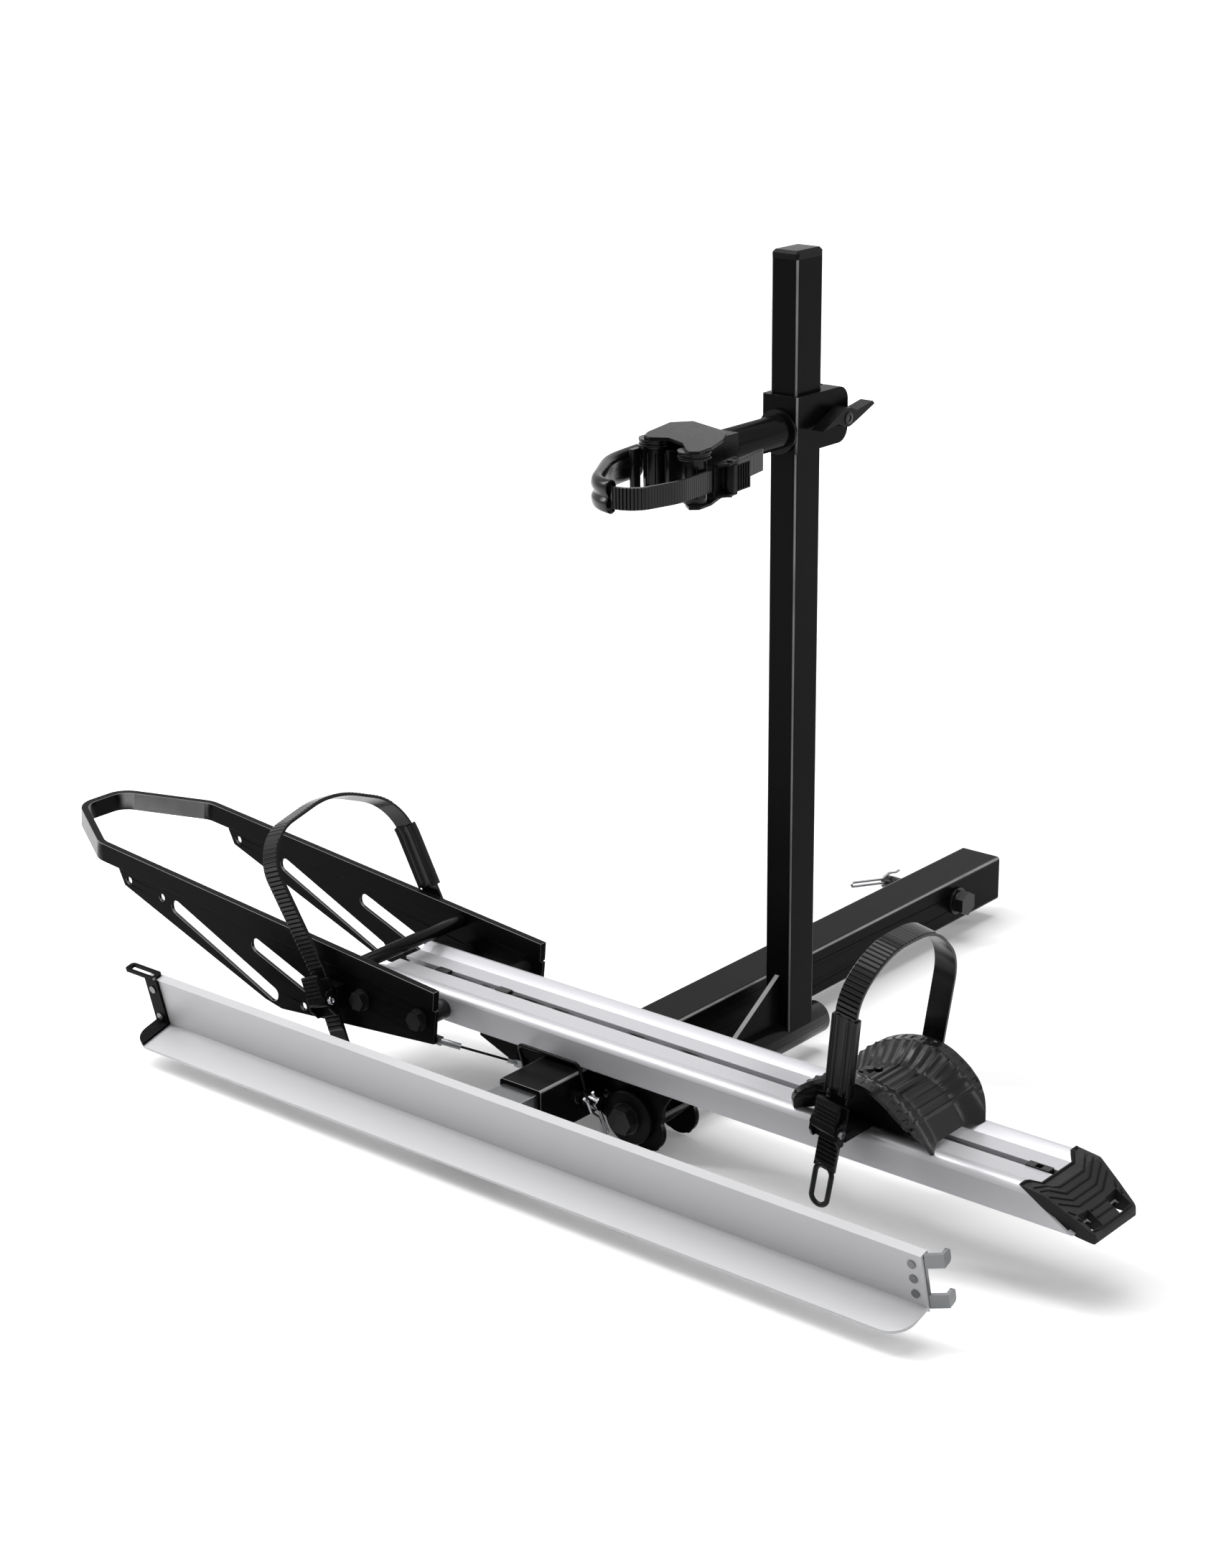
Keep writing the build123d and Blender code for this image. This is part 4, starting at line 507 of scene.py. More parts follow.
def toothed_strap(name, line, side, width, thick, teeth, plain, pitch, slant=0.0):
    """A ratchet strap along the line: a toothed run made by repeating one tooth, and plain runs.

    The slant cuts the strap's first end level, by its rise over the strap's width.
    """
    sizes = size_values()
    start, end = teeth
    count = round((end - start) / pitch)
    pitch = (end - start) / count
    start_fresh()
    bpy.ops.mesh.primitive_cube_add(size=1.0, location=(pitch / 2, 0, 0), scale=(pitch, width, thick))
    bpy.ops.object.transform_apply(location=True, rotation=True, scale=True)
    piece = bpy.context.object
    piece.name = name
    bpy.ops.object.mode_set(mode="EDIT")
    pick_faces(piece, lambda centre, normal: normal.z > 0.9)
    bpy.ops.mesh.inset(thickness=pitch * 0.20, use_even_offset=True)
    bpy.ops.transform.translate(value=(pitch * 0.14, 0, min(sizes.tooth_depth, pitch * 0.3)))
    half = pitch / 2
    pick_faces(piece, lambda centre, normal:
               abs(normal.x) > 0.99 and abs(abs(centre.x - half) - half) < 1e-6)
    bpy.ops.mesh.delete(type="ONLY_FACE")
    bpy.ops.object.mode_set(mode="OBJECT")
    repeat = piece.modifiers.new("Teeth", "ARRAY")
    repeat.count = count
    repeat.use_relative_offset = False
    repeat.use_constant_offset = True
    repeat.constant_offset_displace = (pitch, 0, 0)
    repeat.use_merge_vertices = True
    repeat.merge_threshold = 0.00002
    apply_all(piece)
    for vertex in piece.data.vertices:
        vertex.co.x += start
    half_w, half_t = width / 2, thick / 2
    profile = [(-half_w, -half_t), (half_w, -half_t), (half_w, half_t), (-half_w, half_t)]
    runs = [profile_run(name + "_plain", profile, steps(a, b, SLEEVE_STEP)) for a, b in plain]
    start_fresh()
    for run in runs:
        run.select_set(True)
    piece.select_set(True)
    bpy.context.view_layer.objects.active = piece
    bpy.ops.object.join()
    for vertex in piece.data.vertices:
        vertex.co.x -= vertex.co.y * slant * max(0.0, 1 - vertex.co.x / start)
    line.wrap(piece, side)
    settle(piece)
    only(piece)
    bpy.ops.object.shade_smooth_by_angle(angle=math.radians(28))
    return piece


def ridged_profile(double):
    """The strap sleeves' section in metres, across and out, with its ridges on one face or on both."""
    face = [(12.5, 4.5), (10.5, 4.5), (9.5, 2.9), (6.0, 2.9), (5.0, 4.3), (3.5, 4.3), (2.5, 2.9),
            (-4.5, 2.9), (-5.5, 4.2), (-8.0, 4.2), (-9.0, 3.0), (-10.5, 3.0), (-11.0, 4.5), (-12.5, 4.5)]
    back = [(-across, -out) for across, out in face] if double else [(-12.5, -4.5), (12.5, -4.5)]
    return [(across / 1000, out / 1000) for across, out in face + back]


def lobed_profile():
    """The section of the frame strap's sleeve: two lobes outside, and a hollow against the frame."""
    half, thick = 0.015, 0.006
    face, back = [], []
    for index in range(25):
        across = half * math.cos(math.pi * index / 24)
        full = thick * math.sqrt(max(1 - (across / half) ** 4, 0.0))
        face.append((across, full - 0.0028 * math.exp(-(across / 0.003) ** 2)))
        back.append((-across, 0.0015 * math.exp(-(across / 0.006) ** 2) - full))
    return face + back[1:-1]


def sleeve(name, line, side, profile, test, mouth=0.0):
    """A rubber sleeve of the given section on the stretch of the line that passes the test."""
    start, end = line.span(test)
    piece = profile_run(name, profile, steps(start, end, SLEEVE_STEP))
    if mouth:
        only(piece)
        bpy.ops.object.mode_set(mode="EDIT")
        for place, way in ((start, 1), (end, -1)):
            pick_faces(piece, lambda centre, normal:
                       abs(normal.x) > 0.99 and abs(centre.x - place) < 0.0005)
            bpy.ops.mesh.inset(thickness=mouth, use_even_offset=True)
            bpy.ops.transform.translate(value=(way * mouth * 1.8, 0, 0))
        bpy.ops.object.mode_set(mode="OBJECT")
    line.wrap(piece, side)
    settle(piece)
    soft = piece.modifiers.new("Soft edges", "BEVEL")
    soft.width = 0.0006
    soft.segments = 2
    soft.limit_method = "ANGLE"
    soft.angle_limit = math.radians(50)
    apply_all(piece)
    only(piece)
    bpy.ops.object.shade_smooth_by_angle(angle=math.radians(35))
    return piece


def bar(name, points, thick):
    """A round bar with closed ends along the points."""
    start_fresh()
    bpy.ops.curve.primitive_nurbs_path_add()
    piece = bpy.context.object
    piece.name = name
    line = piece.data
    line.splines.clear()
    spline = line.splines.new("POLY")
    spline.points.add(len(points) - 1)
    for point, place in zip(spline.points, points):
        point.co = (*place, 1.0)
    line.bevel_depth = thick / 2
    line.bevel_resolution = 2
    line.use_fill_caps = True
    bpy.ops.object.convert(target="MESH")
    return bpy.context.object


def join_pieces(name, pieces):
    only(pieces[0])
    for piece in pieces:
        piece.select_set(True)
    bpy.ops.object.join()
    joined = bpy.context.object
    joined.name = name
    settle(joined)
    return joined


def screw_head(name, place, radius, height, corners):
    """A chamfered head with a recess, its foot at the place and its face along the place's Z."""
    start_fresh()
    bpy.ops.mesh.primitive_cylinder_add(vertices=corners, radius=radius, depth=height,
                                        location=(0, 0, height / 2))
    bpy.ops.object.transform_apply(location=True, rotation=True, scale=True)
    piece = bpy.context.object
    piece.name = name
    bpy.ops.object.mode_set(mode="EDIT")
    pick_faces(piece, lambda centre, normal: normal.z > 0.99)
    for inward, up in ((radius * 0.12, height * 0.18), (radius * 0.30, height * 0.06),
                       (radius * 0.06, -height * 0.6)):
        bpy.ops.mesh.inset(thickness=inward, depth=up, use_even_offset=True)
    bpy.ops.object.mode_set(mode="OBJECT")
    piece.matrix_world = place
    settle(piece)
    only(piece)
    bpy.ops.object.shade_smooth_by_angle(angle=math.radians(35))
    return piece


class RACK_OT_finishes(bpy.types.Operator):
    """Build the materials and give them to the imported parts"""

    bl_idname = "rack.finishes"
    bl_label = "Finishes"

    def execute(self, context):
        colours = finish_values()
        grain_group()
        lines_group()
        dust_group()
        corner_highlight_group()
        grey = (0.06, 0.06, 0.065)
        # The powder coat carries painted highlights: light grey along its corners that face sideways or up.
        finish_material("Powder coat", colours.powder, grey, 0.05, "Surface grain",
                        {"Scale": 1400.0, "Gloss": 0.25, "Drift": 0.10}, 0.15, specular=0.03,
                        corner_highlight=(0.34, 0.9))
        finish_material("Painted tube", colours.powder, grey, 0.05, "Surface grain",
                        {"Scale": 1400.0, "Gloss": 0.20, "Drift": 0.08}, 0.10, specular=0.08)
        finish_material("Moulded plastic", colours.plastic, grey, 0.08, "Surface grain",
                        {"Scale": 2600.0, "Gloss": 0.27, "Drift": 0.10}, 0.25, specular=0.06)
        finish_material("Tray plastic", (0.006, 0.006, 0.0065), grey, 0.06, "Surface grain",
                        {"Scale": 2600.0, "Gloss": 0.20, "Drift": 0.06}, 0.12, specular=0.22)
        finish_material("Coarse plastic", (0.009, 0.009, 0.0095), (0.05, 0.05, 0.05), 0.3, "Surface grain",
                        {"Scale": 1100.0, "Gloss": 0.46, "Drift": 0.12}, 0.9, specular=0.15)
        finish_material("Strap plastic", colours.plastic, grey, 0.06, "Surface grain",
                        {"Scale": 1800.0, "Gloss": 0.18, "Drift": 0.08}, 0.10, specular=0.20)
        finish_material("Rubber", colours.rubber, grey, 0.06, "Surface grain",
                        {"Scale": 2200.0, "Gloss": 0.21, "Drift": 0.08}, 0.10, specular=0.16)
        finish_material("Anodised rail", colours.rail, (0.50, 0.50, 0.52), 0.15, "Drawn lines",
                        {"Across": 2400.0, "Along": 6.0, "Gloss": 0.40, "Drift": 0.16}, 0.12, metallic=0.45)
        finish_material("Ramp sheet", colours.ramp, (0.58, 0.58, 0.59), 0.12, "Drawn lines",
                        {"Across": 1500.0, "Along": 9.0, "Gloss": 0.46, "Drift": 0.12}, 0.10, metallic=0.25)
        finish_material("Zinc plate", colours.zinc, (0.3, 0.3, 0.31), 0.2, "Surface grain",
                        {"Scale": 500.0, "Gloss": 0.30, "Drift": 0.22}, 0.12, metallic=0.9)
        finish_material("Chrome wire", (0.46, 0.46, 0.48), (0.4, 0.4, 0.4), 0.1, "Surface grain",
                        {"Scale": 700.0, "Gloss": 0.12, "Drift": 0.10}, 0.05, metallic=1.0)
        finish_material("Black steel", (0.016, 0.016, 0.017), grey, 0.10, "Surface grain",
                        {"Scale": 900.0, "Gloss": 0.24, "Drift": 0.2}, 0.15, metallic=0.5, specular=0.3)
        groups = {
            "Powder coat": ("hitch_tube", "cradle_loop", "bracket_web", "bracket_plates",
                            "near_cradle_plate", "far_cradle_plate", "mast_tube", "mast_gusset", "collar",
                            "ramp_end_bracket", "ramp_carrier"),
            "Painted tube": ("cross_tube", "pivot_tube", "pivot_plug", "arm_tube", "cable", "pin_bail"),
            "Anodised rail": ("rail",),
            "Ramp sheet": ("ramp_channel",),
            "Zinc plate": ("stub_tube", "ramp_rivets", "ramp_hooks", "ramp_hangers", "cable_fittings"),
            "Black steel": ("rail_fasteners", "cradle_fasteners", "cradle_spacers", "slot_fittings",
                            "clamp_bolt", "pivot_bolt", "hitch_bolt", "tray_bolt"),
            "Chrome wire": ("lock_pin", "pin_clip", "hitch_clip"),
            "Coarse plastic": ("rail_end_cap",),
            "Moulded plastic": ("mast_cap", "pivot_washer", "wing_knob", "head_top_plate",
                                "head_bottom_plate", "head_hub", "tray_shell", "tray_base",
                                "front_buckle", "rear_buckle", "frame_buckle", "front_buckle_lever",
                                "rear_buckle_lever", "frame_buckle_lever", "front_strap_anchor"),
            "Strap plastic": ("front_strap", "rear_strap", "frame_strap"),
            "Rubber": ("head_posts", "head_rubbers", "head_pads", "frame_strap_sleeve",
                       "front_strap_sleeve", "rear_strap_sleeve"),
        }
        named = set()
        for material, nodes in groups.items():
            for node in nodes:
                paint(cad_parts[node], material)
                named.add(node)
        missing = set(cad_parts) - named
        if missing:
            raise RuntimeError(f"no finish for {sorted(missing)}")
        return {"FINISHED"}


class RACK_OT_edges(bpy.types.Operator):
    """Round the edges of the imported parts"""

    bl_idname = "rack.edges"
    bl_label = "Edges"

    def execute(self, context):
        plain = {"rail", "cable", "lock_pin", "pin_clip", "pin_bail", "hitch_clip", "head_posts"}
        for name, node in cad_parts.items():
            if name in plain or node.hide_render:
                continue
            weld = node.modifiers.new("Join faces", "WELD")
            weld.merge_threshold = 0.000002
            edge = node.modifiers.new("Round edges", "BEVEL")
            edge.width = size_values().edge
            edge.segments = 2
            edge.limit_method = "ANGLE"
            edge.angle_limit = math.radians(40)
            edge.harden_normals = True
        return {"FINISHED"}


class RACK_OT_straps(bpy.types.Operator):
    """Model the three ratchet straps with their teeth, their sleeves and the rear strap's ring"""

    bl_idname = "rack.straps"
    bl_label = "Straps"

    def execute(self, context):
        front, rear, clamp = strap_lines()
        pitch = size_values().tooth_pitch
        teeth_end = front.length * 0.70
        piece = toothed_strap("front_strap_teeth", front, 1, STRAP_W, STRAP_T, (FRONT_TAIL, teeth_end),
                              [(0.0, FRONT_TAIL), (teeth_end, front.length)], pitch, math.tan(FRONT_LEAN))
        hand_over(piece, "frame", "Strap plastic", "black_plastic", "front_strap")
        piece = toothed_strap("rear_strap_teeth", rear, 1, STRAP_W, STRAP_T,
                              (STRAP_END, rear.length * 0.60),
                              [(0.0, STRAP_END), (rear.length * 0.60, rear.length)], pitch)
        hand_over(piece, "tray", "Strap plastic", "black_plastic", "rear_strap")
        start_fresh()
        bpy.ops.mesh.primitive_torus_add(major_segments=40, minor_segments=12, major_radius=0.0085,
                                         minor_radius=0.0026)
        ring = bpy.context.object
        ring.name = "rear_strap_ring"
        for vertex in ring.data.vertices:
            x, y, z = vertex.co
            stretched = x + (RING_HALF_RUN if x > 0 else -RING_HALF_RUN) - RING_BELOW
            vertex.co = rear.place(0.0, y, z * 0.8, 1) + rear.v * stretched
        settle(ring)
        only(ring)
        bpy.ops.object.shade_smooth()
        hand_over(ring, "tray", "Strap plastic", "black_plastic")
        piece = toothed_strap("frame_strap_teeth", clamp, -1, CLAMP_STRAP_W, STRAP_T,
                              (clamp.length * 0.42, clamp.length - STRAP_END),
                              [(0.0, clamp.length * 0.42), (clamp.length - STRAP_END, clamp.length)],
                              size_values().clamp_pitch)
        hand_over(piece, "clamp_head", "Strap plastic", "black_plastic", "frame_strap")
        piece = sleeve("front_sleeve", front, 1, ridged_profile(True),
                       lambda point: point.x > RAIL_Y and 0.062 <= point.y <= 0.130)
        hand_over(piece, "frame", "Rubber", "black_rubber", "front_strap_sleeve")
        piece = sleeve("rear_sleeve", rear, 1, ridged_profile(False),
                       lambda point: point.x < RAIL_Y and 0.046 <= point.y <= 0.126)
        hand_over(piece, "tray", "Rubber", "black_rubber", "rear_strap_sleeve")
        piece = sleeve("frame_sleeve", clamp, -1, lobed_profile(),
                       lambda point: point.x < 0.092 and point.y < -0.541, mouth=0.0014)
        hand_over(piece, "clamp_head", "Rubber", "black_rubber", "frame_strap_sleeve")
        return {"FINISHED"}


class RACK_OT_buckles(bpy.types.Operator):
    """Add the grip ribs and screw heads of the ratchet levers"""

    bl_idname = "rack.buckles"
    bl_label = "Buckle details"

    def execute(self, context):
        up = Vector((-math.sin(REAR_LEAN), 0, math.cos(REAR_LEAN)))
        start, end = (Vector(point) for point in CLAMP_SIDE)
        along = (end - start).normalized()
        out = along.cross(Vector((0, 0, 1)))
        near = Vector((0, -1, 0))
        places = {"front": (Vector((-0.262, -0.6863, 0.040)),
                            Vector((-math.sin(FRONT_LEAN), 0, math.cos(FRONT_LEAN))), near),
                  "rear": (Vector((0.333, -0.6693, RAIL_TOP)) + up * 0.019, up, near),
                  "frame": (start + (end - start) * CLAMP_BUCKLE_AT + out * STRAP_T / 2, along, out)}
        for name, (origin, way, face) in places.items():
            side = face.cross(way)
            grips = []
            for index in range(5):
                middle = origin + way * (0.004 + 0.004 * index) + face * LEVER_TOP
                grips.append(bar(f"{name}_grip_{index + 1}",
                                 [middle - side * 0.011, middle + side * 0.011], 0.0018))
            piece = join_pieces(f"{name}_lever_grips", grips)
            only(piece)
            bpy.ops.object.shade_smooth_by_angle(angle=math.radians(40))
            hand_over(piece, f"{name}_lever", "Moulded plastic", "black_plastic")
        for name, corners, material, slot in (("front", 24, "Chrome wire", "chrome"),
                                              ("rear", 6, "Zinc plate", "zinc")):
            origin, way, face = places[name]
            right = way.cross(face)
            foot = origin + way * LEVER_HINGE_X + face * LEVER_HINGE_Z + right * BUCKLE_SIDE
            turn = Matrix((way, right.cross(way), right)).transposed().to_4x4()
            piece = screw_head(f"{name}_lever_screw", Matrix.Translation(foot) @ turn, 0.0042, 0.0022,
                               corners)
            hand_over(piece, f"{name}_lever", material, slot)
        turn = Matrix((Vector((0, 1, 0)), Vector((0, 0, 1)), Vector((1, 0, 0)))).transposed().to_4x4()
        piece = screw_head("knob_socket", Matrix.Translation((0.1088, -0.341, 0.6065)) @ turn, 0.0058,
                           0.0016, 24)
        hand_over(piece, "knob", "Black steel", "black_steel")
        return {"FINISHED"}


class RACK_OT_tray(bpy.types.Operator):
    """Model the rear wheel tray as one ridged sheet, and the nut of its bolt"""

    bl_idname = "rack.tray"
    bl_label = "Wheel tray"

    def height(self, across, angle):
        """Distance of the tray's face from the arch's axis. Its rims are lower towards the right."""
        side = held((abs(across) - TRAY_FLOOR) / (TRAY_LIP - TRAY_FLOOR))
        fall = held((angle - 0.1) / 0.6)
        depth = TRAY_DEPTH * (1 - 0.33 * fall * fall * (3 - 2 * fall))
        return TRAY_R + depth * side * side * (3 - 2 * side)

    def ridge(self, across, angle):
        """Height of the saw-toothed ridges: right across the trough, and as ticks on the two rims."""
        sizes = size_values()
        along = (angle * TRAY_R / sizes.ridge_pitch) % 1.0
        saw = along / 0.2 if along < 0.2 else max(1 - (along - 0.2) / 0.35, 0.0)
        fade = held((0.85 - angle) / 0.05) * held((angle + 1.04) / 0.05)
        across = abs(across)
        if across < TICK_START:
            return sizes.ridge_depth * saw * fade * held((RIDGE_END - across) / 0.0015)
        tick = held((across - TICK_START) / 0.001) * held((TICK_END - across) / 0.001)
        return -TICK_DEPTH * tick * fade * (1.0 if along > 0.62 else 0.0)

    def cut_slot(self, piece):
        """Opens the round-ended slot over the clamping bolt, and fits its rim to the outline."""

        def from_slot(place):
            nearest = min(max(place.x, SLOT_MIDDLE - SLOT_HALF_RUN), SLOT_MIDDLE + SLOT_HALF_RUN)
            return nearest, Vector((place.x - nearest, place.y - RAIL_Y))

        only(piece)
        bpy.ops.object.mode_set(mode="EDIT")
        pick_faces(piece, lambda centre, normal: from_slot(centre)[1].length < SLOT_RADIUS)
        bpy.ops.mesh.delete(type="FACE")
        mesh = bmesh.from_edit_mesh(piece.data)
        for vertex in mesh.verts:
            nearest, offset = from_slot(vertex.co)
            if vertex.is_boundary and offset.length < SLOT_RADIUS + 0.0015:
                arch = math.hypot(vertex.co.x - TRAY_X, vertex.co.z - TRAY_AXIS_Z)
                offset = offset.normalized() * SLOT_RADIUS
                x = nearest + offset.x
                vertex.co = (x, RAIL_Y + offset.y, TRAY_AXIS_Z + math.sqrt(arch ** 2 - (x - TRAY_X) ** 2))
        bmesh.update_edit_mesh(piece.data)
        bpy.ops.object.mode_set(mode="OBJECT")

    def execute(self, context):
        start_fresh()
        bpy.ops.mesh.primitive_grid_add(x_subdivisions=288, y_subdivisions=88, size=2.0)
        piece = bpy.context.object
        piece.name = "tray_skin"
        rise = RAIL_TOP + 0.0006 - TRAY_AXIS_Z
        # Half the angle that the arch spans where it is deepest
        widest = 1.162
        for vertex in piece.data.vertices:
            u, v = vertex.co.x, vertex.co.y
            across = v * TRAY_HALF
            radius = self.height(across, 0.0)
            reach = math.sqrt((TRAY_R + TRAY_DEPTH) ** 2 - rise ** 2)
            over = max(abs(across) - (TRAY_HALF - TRAY_CORNER), 0.0)
            reach = reach - TRAY_CORNER + math.sqrt(max(TRAY_CORNER ** 2 - over ** 2, 0.0))
            limit = min(math.acos(rise / radius), math.asin(min(reach / radius, 1.0)))
            # Even steps over the middle, and what is left up to the rounded corners
            knee = min(0.9, limit * 0.85)
            if abs(u) <= knee / widest:
                angle = u * widest
            else:
                share = (abs(u) - knee / widest) / (1 - knee / widest)
                angle = math.copysign(knee + (limit - knee) * share, u)
            radius = self.height(across, angle) + self.ridge(across, angle)
            vertex.co = (TRAY_X + radius * math.sin(angle), TRAY_Y + across,
                         TRAY_AXIS_Z + radius * math.cos(angle))
        self.cut_slot(piece)
        wall = piece.modifiers.new("Wall", "SOLIDIFY")
        wall.thickness = TRAY_WALL
        wall.offset = -1.0
        apply_all(piece)
        settle(piece)
        only(piece)
        bpy.ops.object.shade_smooth_by_angle(angle=math.radians(16))
        hand_over(piece, "tray", "Tray plastic", "black_plastic", "tray_shell")
        place = Matrix.Translation((TRAY_BOLT_X, RAIL_Y, TRAY_NUT_FOOT))
        nut = screw_head("tray_slot_nut", place, 0.0053, 0.0055, 6)
        hand_over(nut, "tray", "Black steel", "black_steel")
        return {"FINISHED"}


class RACK_OT_end_cap(bpy.types.Operator):
    """Add the bent ribs and the socket walls of the rail's end cap"""

    bl_idname = "rack.end_cap"
    bl_label = "End cap ribs"

    def execute(self, context):
        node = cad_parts["rail_end_cap"]
        skin = BVHTree.FromObject(node, bpy.context.evaluated_depsgraph_get())
        thick = size_values().rib
        # Ribs as seen from above: how far out along the rail, and how far across it, in metres
        ribs = []
        for middle, knee, end, out in ((0.5285, 0.0195, 0.5170, 0.0415), (0.5350, 0.0190, 0.5240, 0.0425),
                                       (0.5415, 0.0190, 0.5325, 0.0415), (0.5475, 0.0195, 0.5400, 0.0390)):
            ribs.append([(end, -out), (middle, -knee), (middle, knee), (end, out)])
        for side in (-1, 1):
            ribs.append([(0.5525, side * 0.0325), (0.5485, side * 0.0375)])
            ribs.append([(0.5590, side * 0.0325), (0.5560, side * 0.0350)])
        ribs.append([(0.5550, -0.0125), (0.5550, 0.0125)])
        ribs.append([(0.5615, -0.0125), (0.5615, 0.0125)])
        ribs.append([(0.5693, -0.0310), (0.5693, 0.0310)])
        lip = [(0.5068, -0.0440), (0.5068, -0.0380), (0.5148, -0.0250), (0.5148, 0.0250), (0.5068, 0.0380),
               (0.5068, 0.0440)]
        pieces = [self.laid_bar(f"cap_rib_{index + 1}", skin, rib, thick)
                  for index, rib in enumerate(ribs)]
        pieces.append(self.laid_bar("cap_lip", skin, lip, thick * 1.6))
        pieces += [self.socket_walls(side) for side in (-1, 1)]
        piece = join_pieces("cap_ribs", pieces)
        only(piece)
        bpy.ops.object.shade_smooth()
        hand_over(piece, "frame", "Moulded plastic", "black_plastic")
        return {"FINISHED"}

    def socket_walls(self, side):
        """Thin walls that run down from the edges of one hook socket, under the cap's sloping face."""
        start_fresh()
        bpy.ops.mesh.primitive_cube_add(size=1.0, location=(SOCKET_X, RAIL_Y + side * SOCKET_Y, 0.030),
                                        scale=(0.0154, 0.0179, 0.012))
        walls = bpy.context.object
        walls.name = f"cap_socket_walls_{side + 2}"
        bpy.ops.object.transform_apply(location=True, rotation=True, scale=True)
        bpy.ops.object.mode_set(mode="EDIT")
        pick_faces(walls, lambda centre, normal: abs(normal.z) > 0.9)
        bpy.ops.mesh.delete(type="ONLY_FACE")
        bpy.ops.object.mode_set(mode="OBJECT")
        for vertex in walls.data.vertices:
            dip = 0.0033 * held((0.040 - abs(vertex.co.y - RAIL_Y)) / 0.021)
            top = CAP_UNDER_Z - CAP_FALL * (vertex.co.x - CAP_FOOT_X) - dip
            vertex.co.z = top if vertex.co.z > 0.030 else 0.0232
        shell = walls.modifiers.new("Wall", "SOLIDIFY")
        shell.thickness = 0.0012
        shell.offset = 1.0
        apply_all(walls)
        return walls

    def laid_bar(self, name, skin, corners, thick):
        """A bar along the corners, laid on the cap's face under them."""
        points = []
        for (xa, ya), (xb, yb) in zip(corners, corners[1:]):
            points += [(xa + (xb - xa) * part / 8, ya + (yb - ya) * part / 8) for part in range(8)]
        points.append(corners[-1])
        kept = []
        for x, y in points:
            hit = skin.ray_cast(Vector((x, RAIL_Y + y, 0.2)), Vector((0, 0, -1)))
            if hit[0] is not None and hit[0].z > 0.020:
                kept.append(hit[0])
        return bar(name, kept, thick)


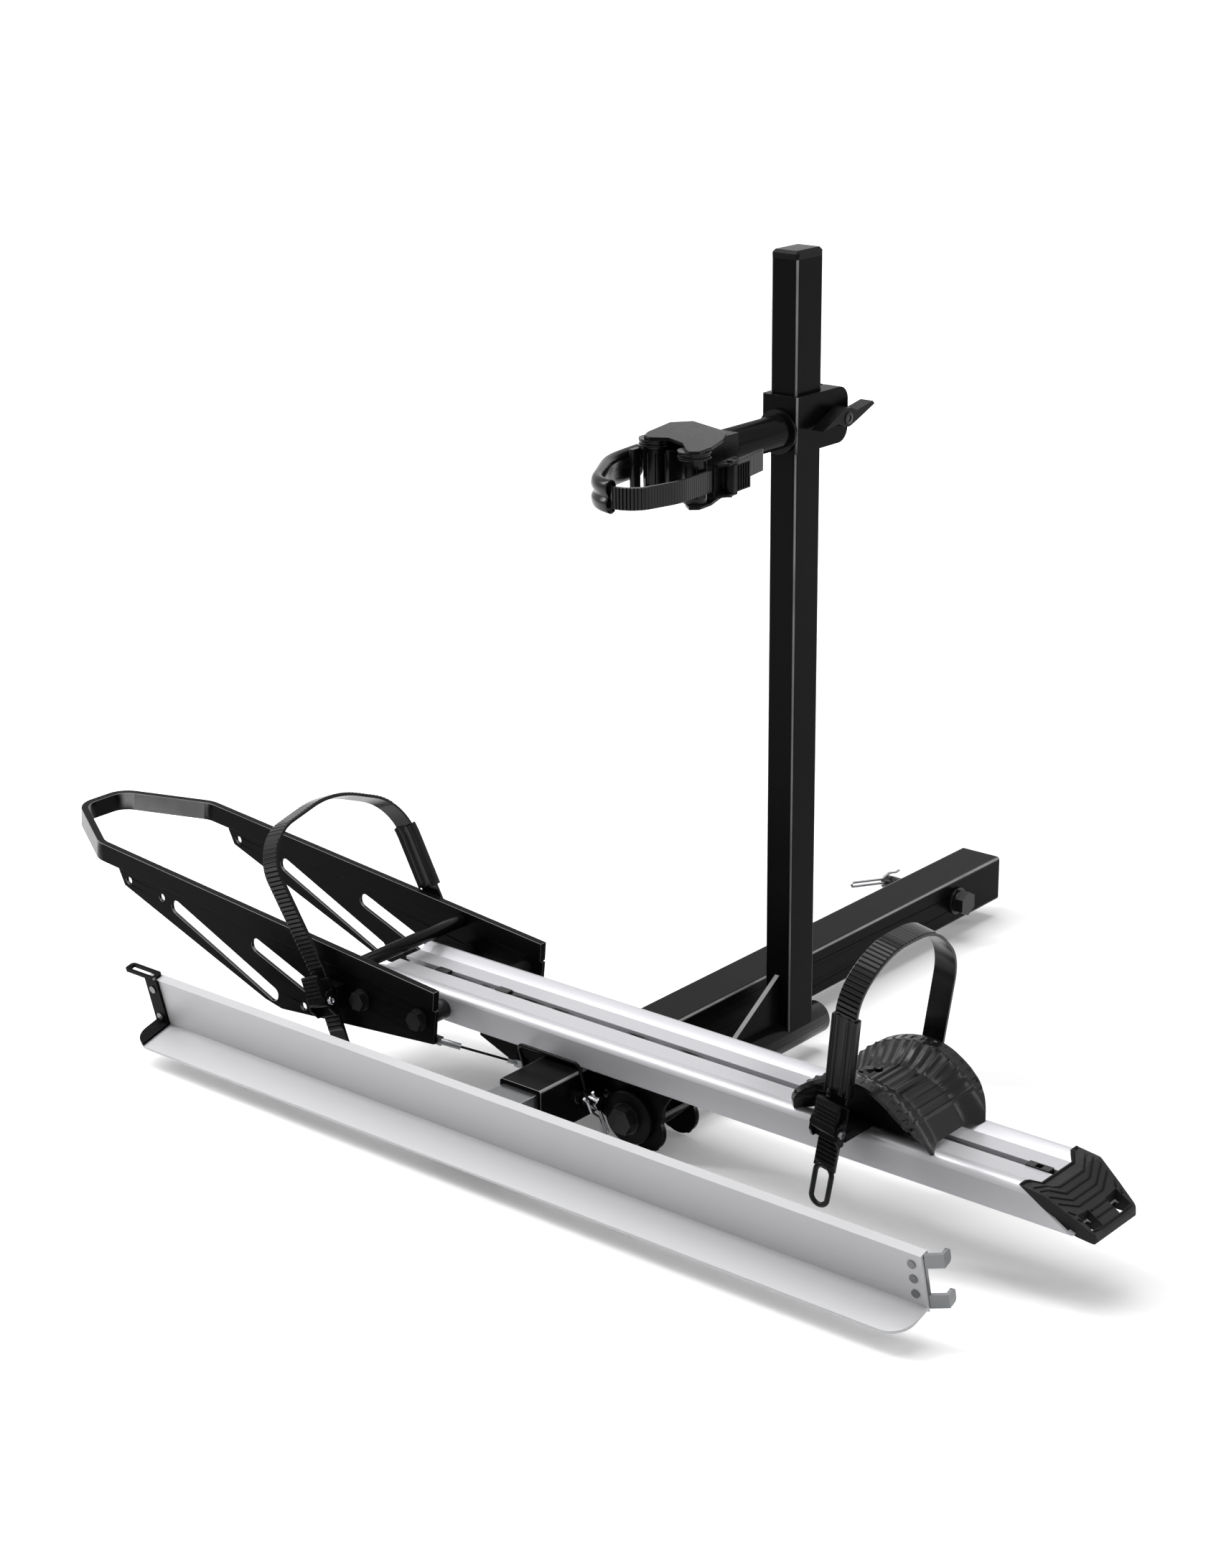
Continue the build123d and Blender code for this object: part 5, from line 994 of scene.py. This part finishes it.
class RACK_OT_stage(bpy.types.Operator):
    """Set the floor, the soft lights and the camera"""

    bl_idname = "rack.stage"
    bl_label = "Stage"

    def seen_directly(self, nodes, links):
        """1 for what the camera, a mirror or glass sees, and 0 for the light that falls on the rack."""
        path = nodes.new("ShaderNodeLightPath")
        shiny = maths(nodes, links, "MAXIMUM", path.outputs["Is Glossy Ray"],
                      path.outputs["Is Transmission Ray"])
        return maths(nodes, links, "MAXIMUM", path.outputs["Is Camera Ray"], shiny)

    def execute(self, context):
        start_fresh()
        bpy.ops.mesh.primitive_plane_add(size=30.0, location=(0, 0, CAD_BOX[0].z - 0.003))
        floor = bpy.context.object
        floor.name = "floor"
        surface = bpy.data.materials.new("Pale floor")
        surface.use_nodes = True
        nodes, links = surface.node_tree.nodes, surface.node_tree.links
        shader = nodes["Principled BSDF"]
        shader.inputs["Base Color"].default_value = (0.90, 0.90, 0.90, 1.0)
        shader.inputs["Roughness"].default_value = 0.8
        shader.inputs["Specular IOR Level"].default_value = 0.1
        shader.inputs["Emission Color"].default_value = (1.0, 1.0, 1.0, 1.0)
        seen = self.seen_directly(nodes, links)
        place = nodes.new("ShaderNodeTexCoord")
        away = nodes.new("ShaderNodeVectorMath")
        away.operation = "LENGTH"
        links.new(place.outputs["Object"], away.inputs[0])
        far = nodes.new("ShaderNodeMapRange")
        far.inputs["From Min"].default_value = 0.8
        far.inputs["From Max"].default_value = 2.0
        far.inputs["To Min"].default_value = 0.15
        links.new(away.outputs["Value"], far.inputs["Value"])
        links.new(maths(nodes, links, "MULTIPLY", seen, far.outputs["Result"]),
                  shader.inputs["Emission Strength"])
        floor.data.materials.append(surface)
        world = bpy.data.worlds.new("Pale room")
        bpy.context.scene.world = world
        world.use_nodes = True
        nodes, links = world.node_tree.nodes, world.node_tree.links
        back = nodes["Background"]
        back.inputs["Color"].default_value = (1.0, 1.0, 1.0, 1.0)
        back.inputs["Strength"].default_value = 0.28
        white = nodes.new("ShaderNodeBackground")
        white.inputs["Color"].default_value = (1.0, 1.0, 1.0, 1.0)
        white.inputs["Strength"].default_value = 1.0
        mix = nodes.new("ShaderNodeMixShader")
        links.new(self.seen_directly(nodes, links), mix.inputs[0])
        links.new(back.outputs[0], mix.inputs[1])
        links.new(white.outputs[0], mix.inputs[2])
        links.new(mix.outputs[0], nodes["World Output"].inputs["Surface"])
        for name, place, size, power in (("top", (-0.3, -0.4, 3.8), (3.0, 3.0), 112.0),
                                         ("strip", (-2.3, -1.6, 2.5), (0.20, 2.8), 90.0),
                                         ("side", (2.9, 0.6, 2.6), (0.16, 2.4), 22.0)):
            start_fresh()
            bpy.ops.object.light_add(type="AREA", location=place)
            lamp = bpy.context.object
            lamp.name = name
            lamp.data.shape = "RECTANGLE"
            lamp.data.size, lamp.data.size_y = size
            lamp.data.energy = power
            aim = Vector((0.0, -0.5, 0.15)) - Vector(place)
            lamp.rotation_euler = aim.to_track_quat("-Z", "Y").to_euler()
        start_fresh()
        bpy.ops.object.camera_add(location=CAMERA_PLACE)
        camera = bpy.context.object
        azimuth, rise, roll = (math.radians(a) for a in (CAMERA_AZIMUTH, CAMERA_RISE, CAMERA_ROLL))
        back_way = Vector((math.sin(azimuth) * math.cos(rise), -math.cos(azimuth) * math.cos(rise),
                           math.sin(rise)))
        right = (-back_way).cross(Vector((0, 0, 1))).normalized()
        up = right.cross(-back_way)
        right_rolled = right * math.cos(roll) + up * math.sin(roll)
        up_rolled = up * math.cos(roll) - right * math.sin(roll)
        turn = Matrix((right_rolled, up_rolled, back_way)).transposed()
        camera.matrix_world = Matrix.Translation(CAMERA_PLACE) @ turn.to_4x4()
        camera.data.lens = CAMERA_LENS
        camera.data.sensor_width = 36.0
        camera.data.clip_start = 0.05
        camera.data.clip_end = 60.0
        context.scene.camera = camera
        context.scene.view_settings.view_transform = "Standard"
        return {"FINISHED"}


class RACK_PT_panel(bpy.types.Panel):
    """The rack's pieces, in the order they are made"""

    bl_idname = "RACK_PT_panel"
    bl_label = "Rack"
    bl_space_type = "VIEW_3D"
    bl_region_type = "UI"
    bl_category = "Rack"

    def draw(self, context):
        layout = self.layout
        for group in (context.scene.rack_finish, context.scene.rack_sizes):
            box = layout.box()
            for name in group.__annotations__:
                box.prop(group, name)
        for operator in OPERATORS:
            layout.operator(operator.bl_idname)


OPERATORS = (RACK_OT_finishes, RACK_OT_straps, RACK_OT_buckles, RACK_OT_tray, RACK_OT_end_cap,
             RACK_OT_edges, RACK_OT_stage)
CLASSES = (RackFinish, RackSizes, *OPERATORS, RACK_PT_panel)


def register():
    for cls in CLASSES:
        bpy.utils.register_class(cls)
    bpy.types.Scene.rack_finish = bpy.props.PointerProperty(type=RackFinish)
    bpy.types.Scene.rack_sizes = bpy.props.PointerProperty(type=RackSizes)


def unregister():
    del bpy.types.Scene.rack_sizes
    del bpy.types.Scene.rack_finish
    for cls in reversed(CLASSES):
        bpy.utils.unregister_class(cls)


def main():
    register()
    bpy.ops.rack.finishes()
    bpy.ops.rack.straps()
    bpy.ops.rack.buckles()
    bpy.ops.rack.tray()
    bpy.ops.rack.end_cap()
    bpy.ops.rack.edges()
    bpy.ops.rack.stage()


if __name__ == "__main__":
    main()
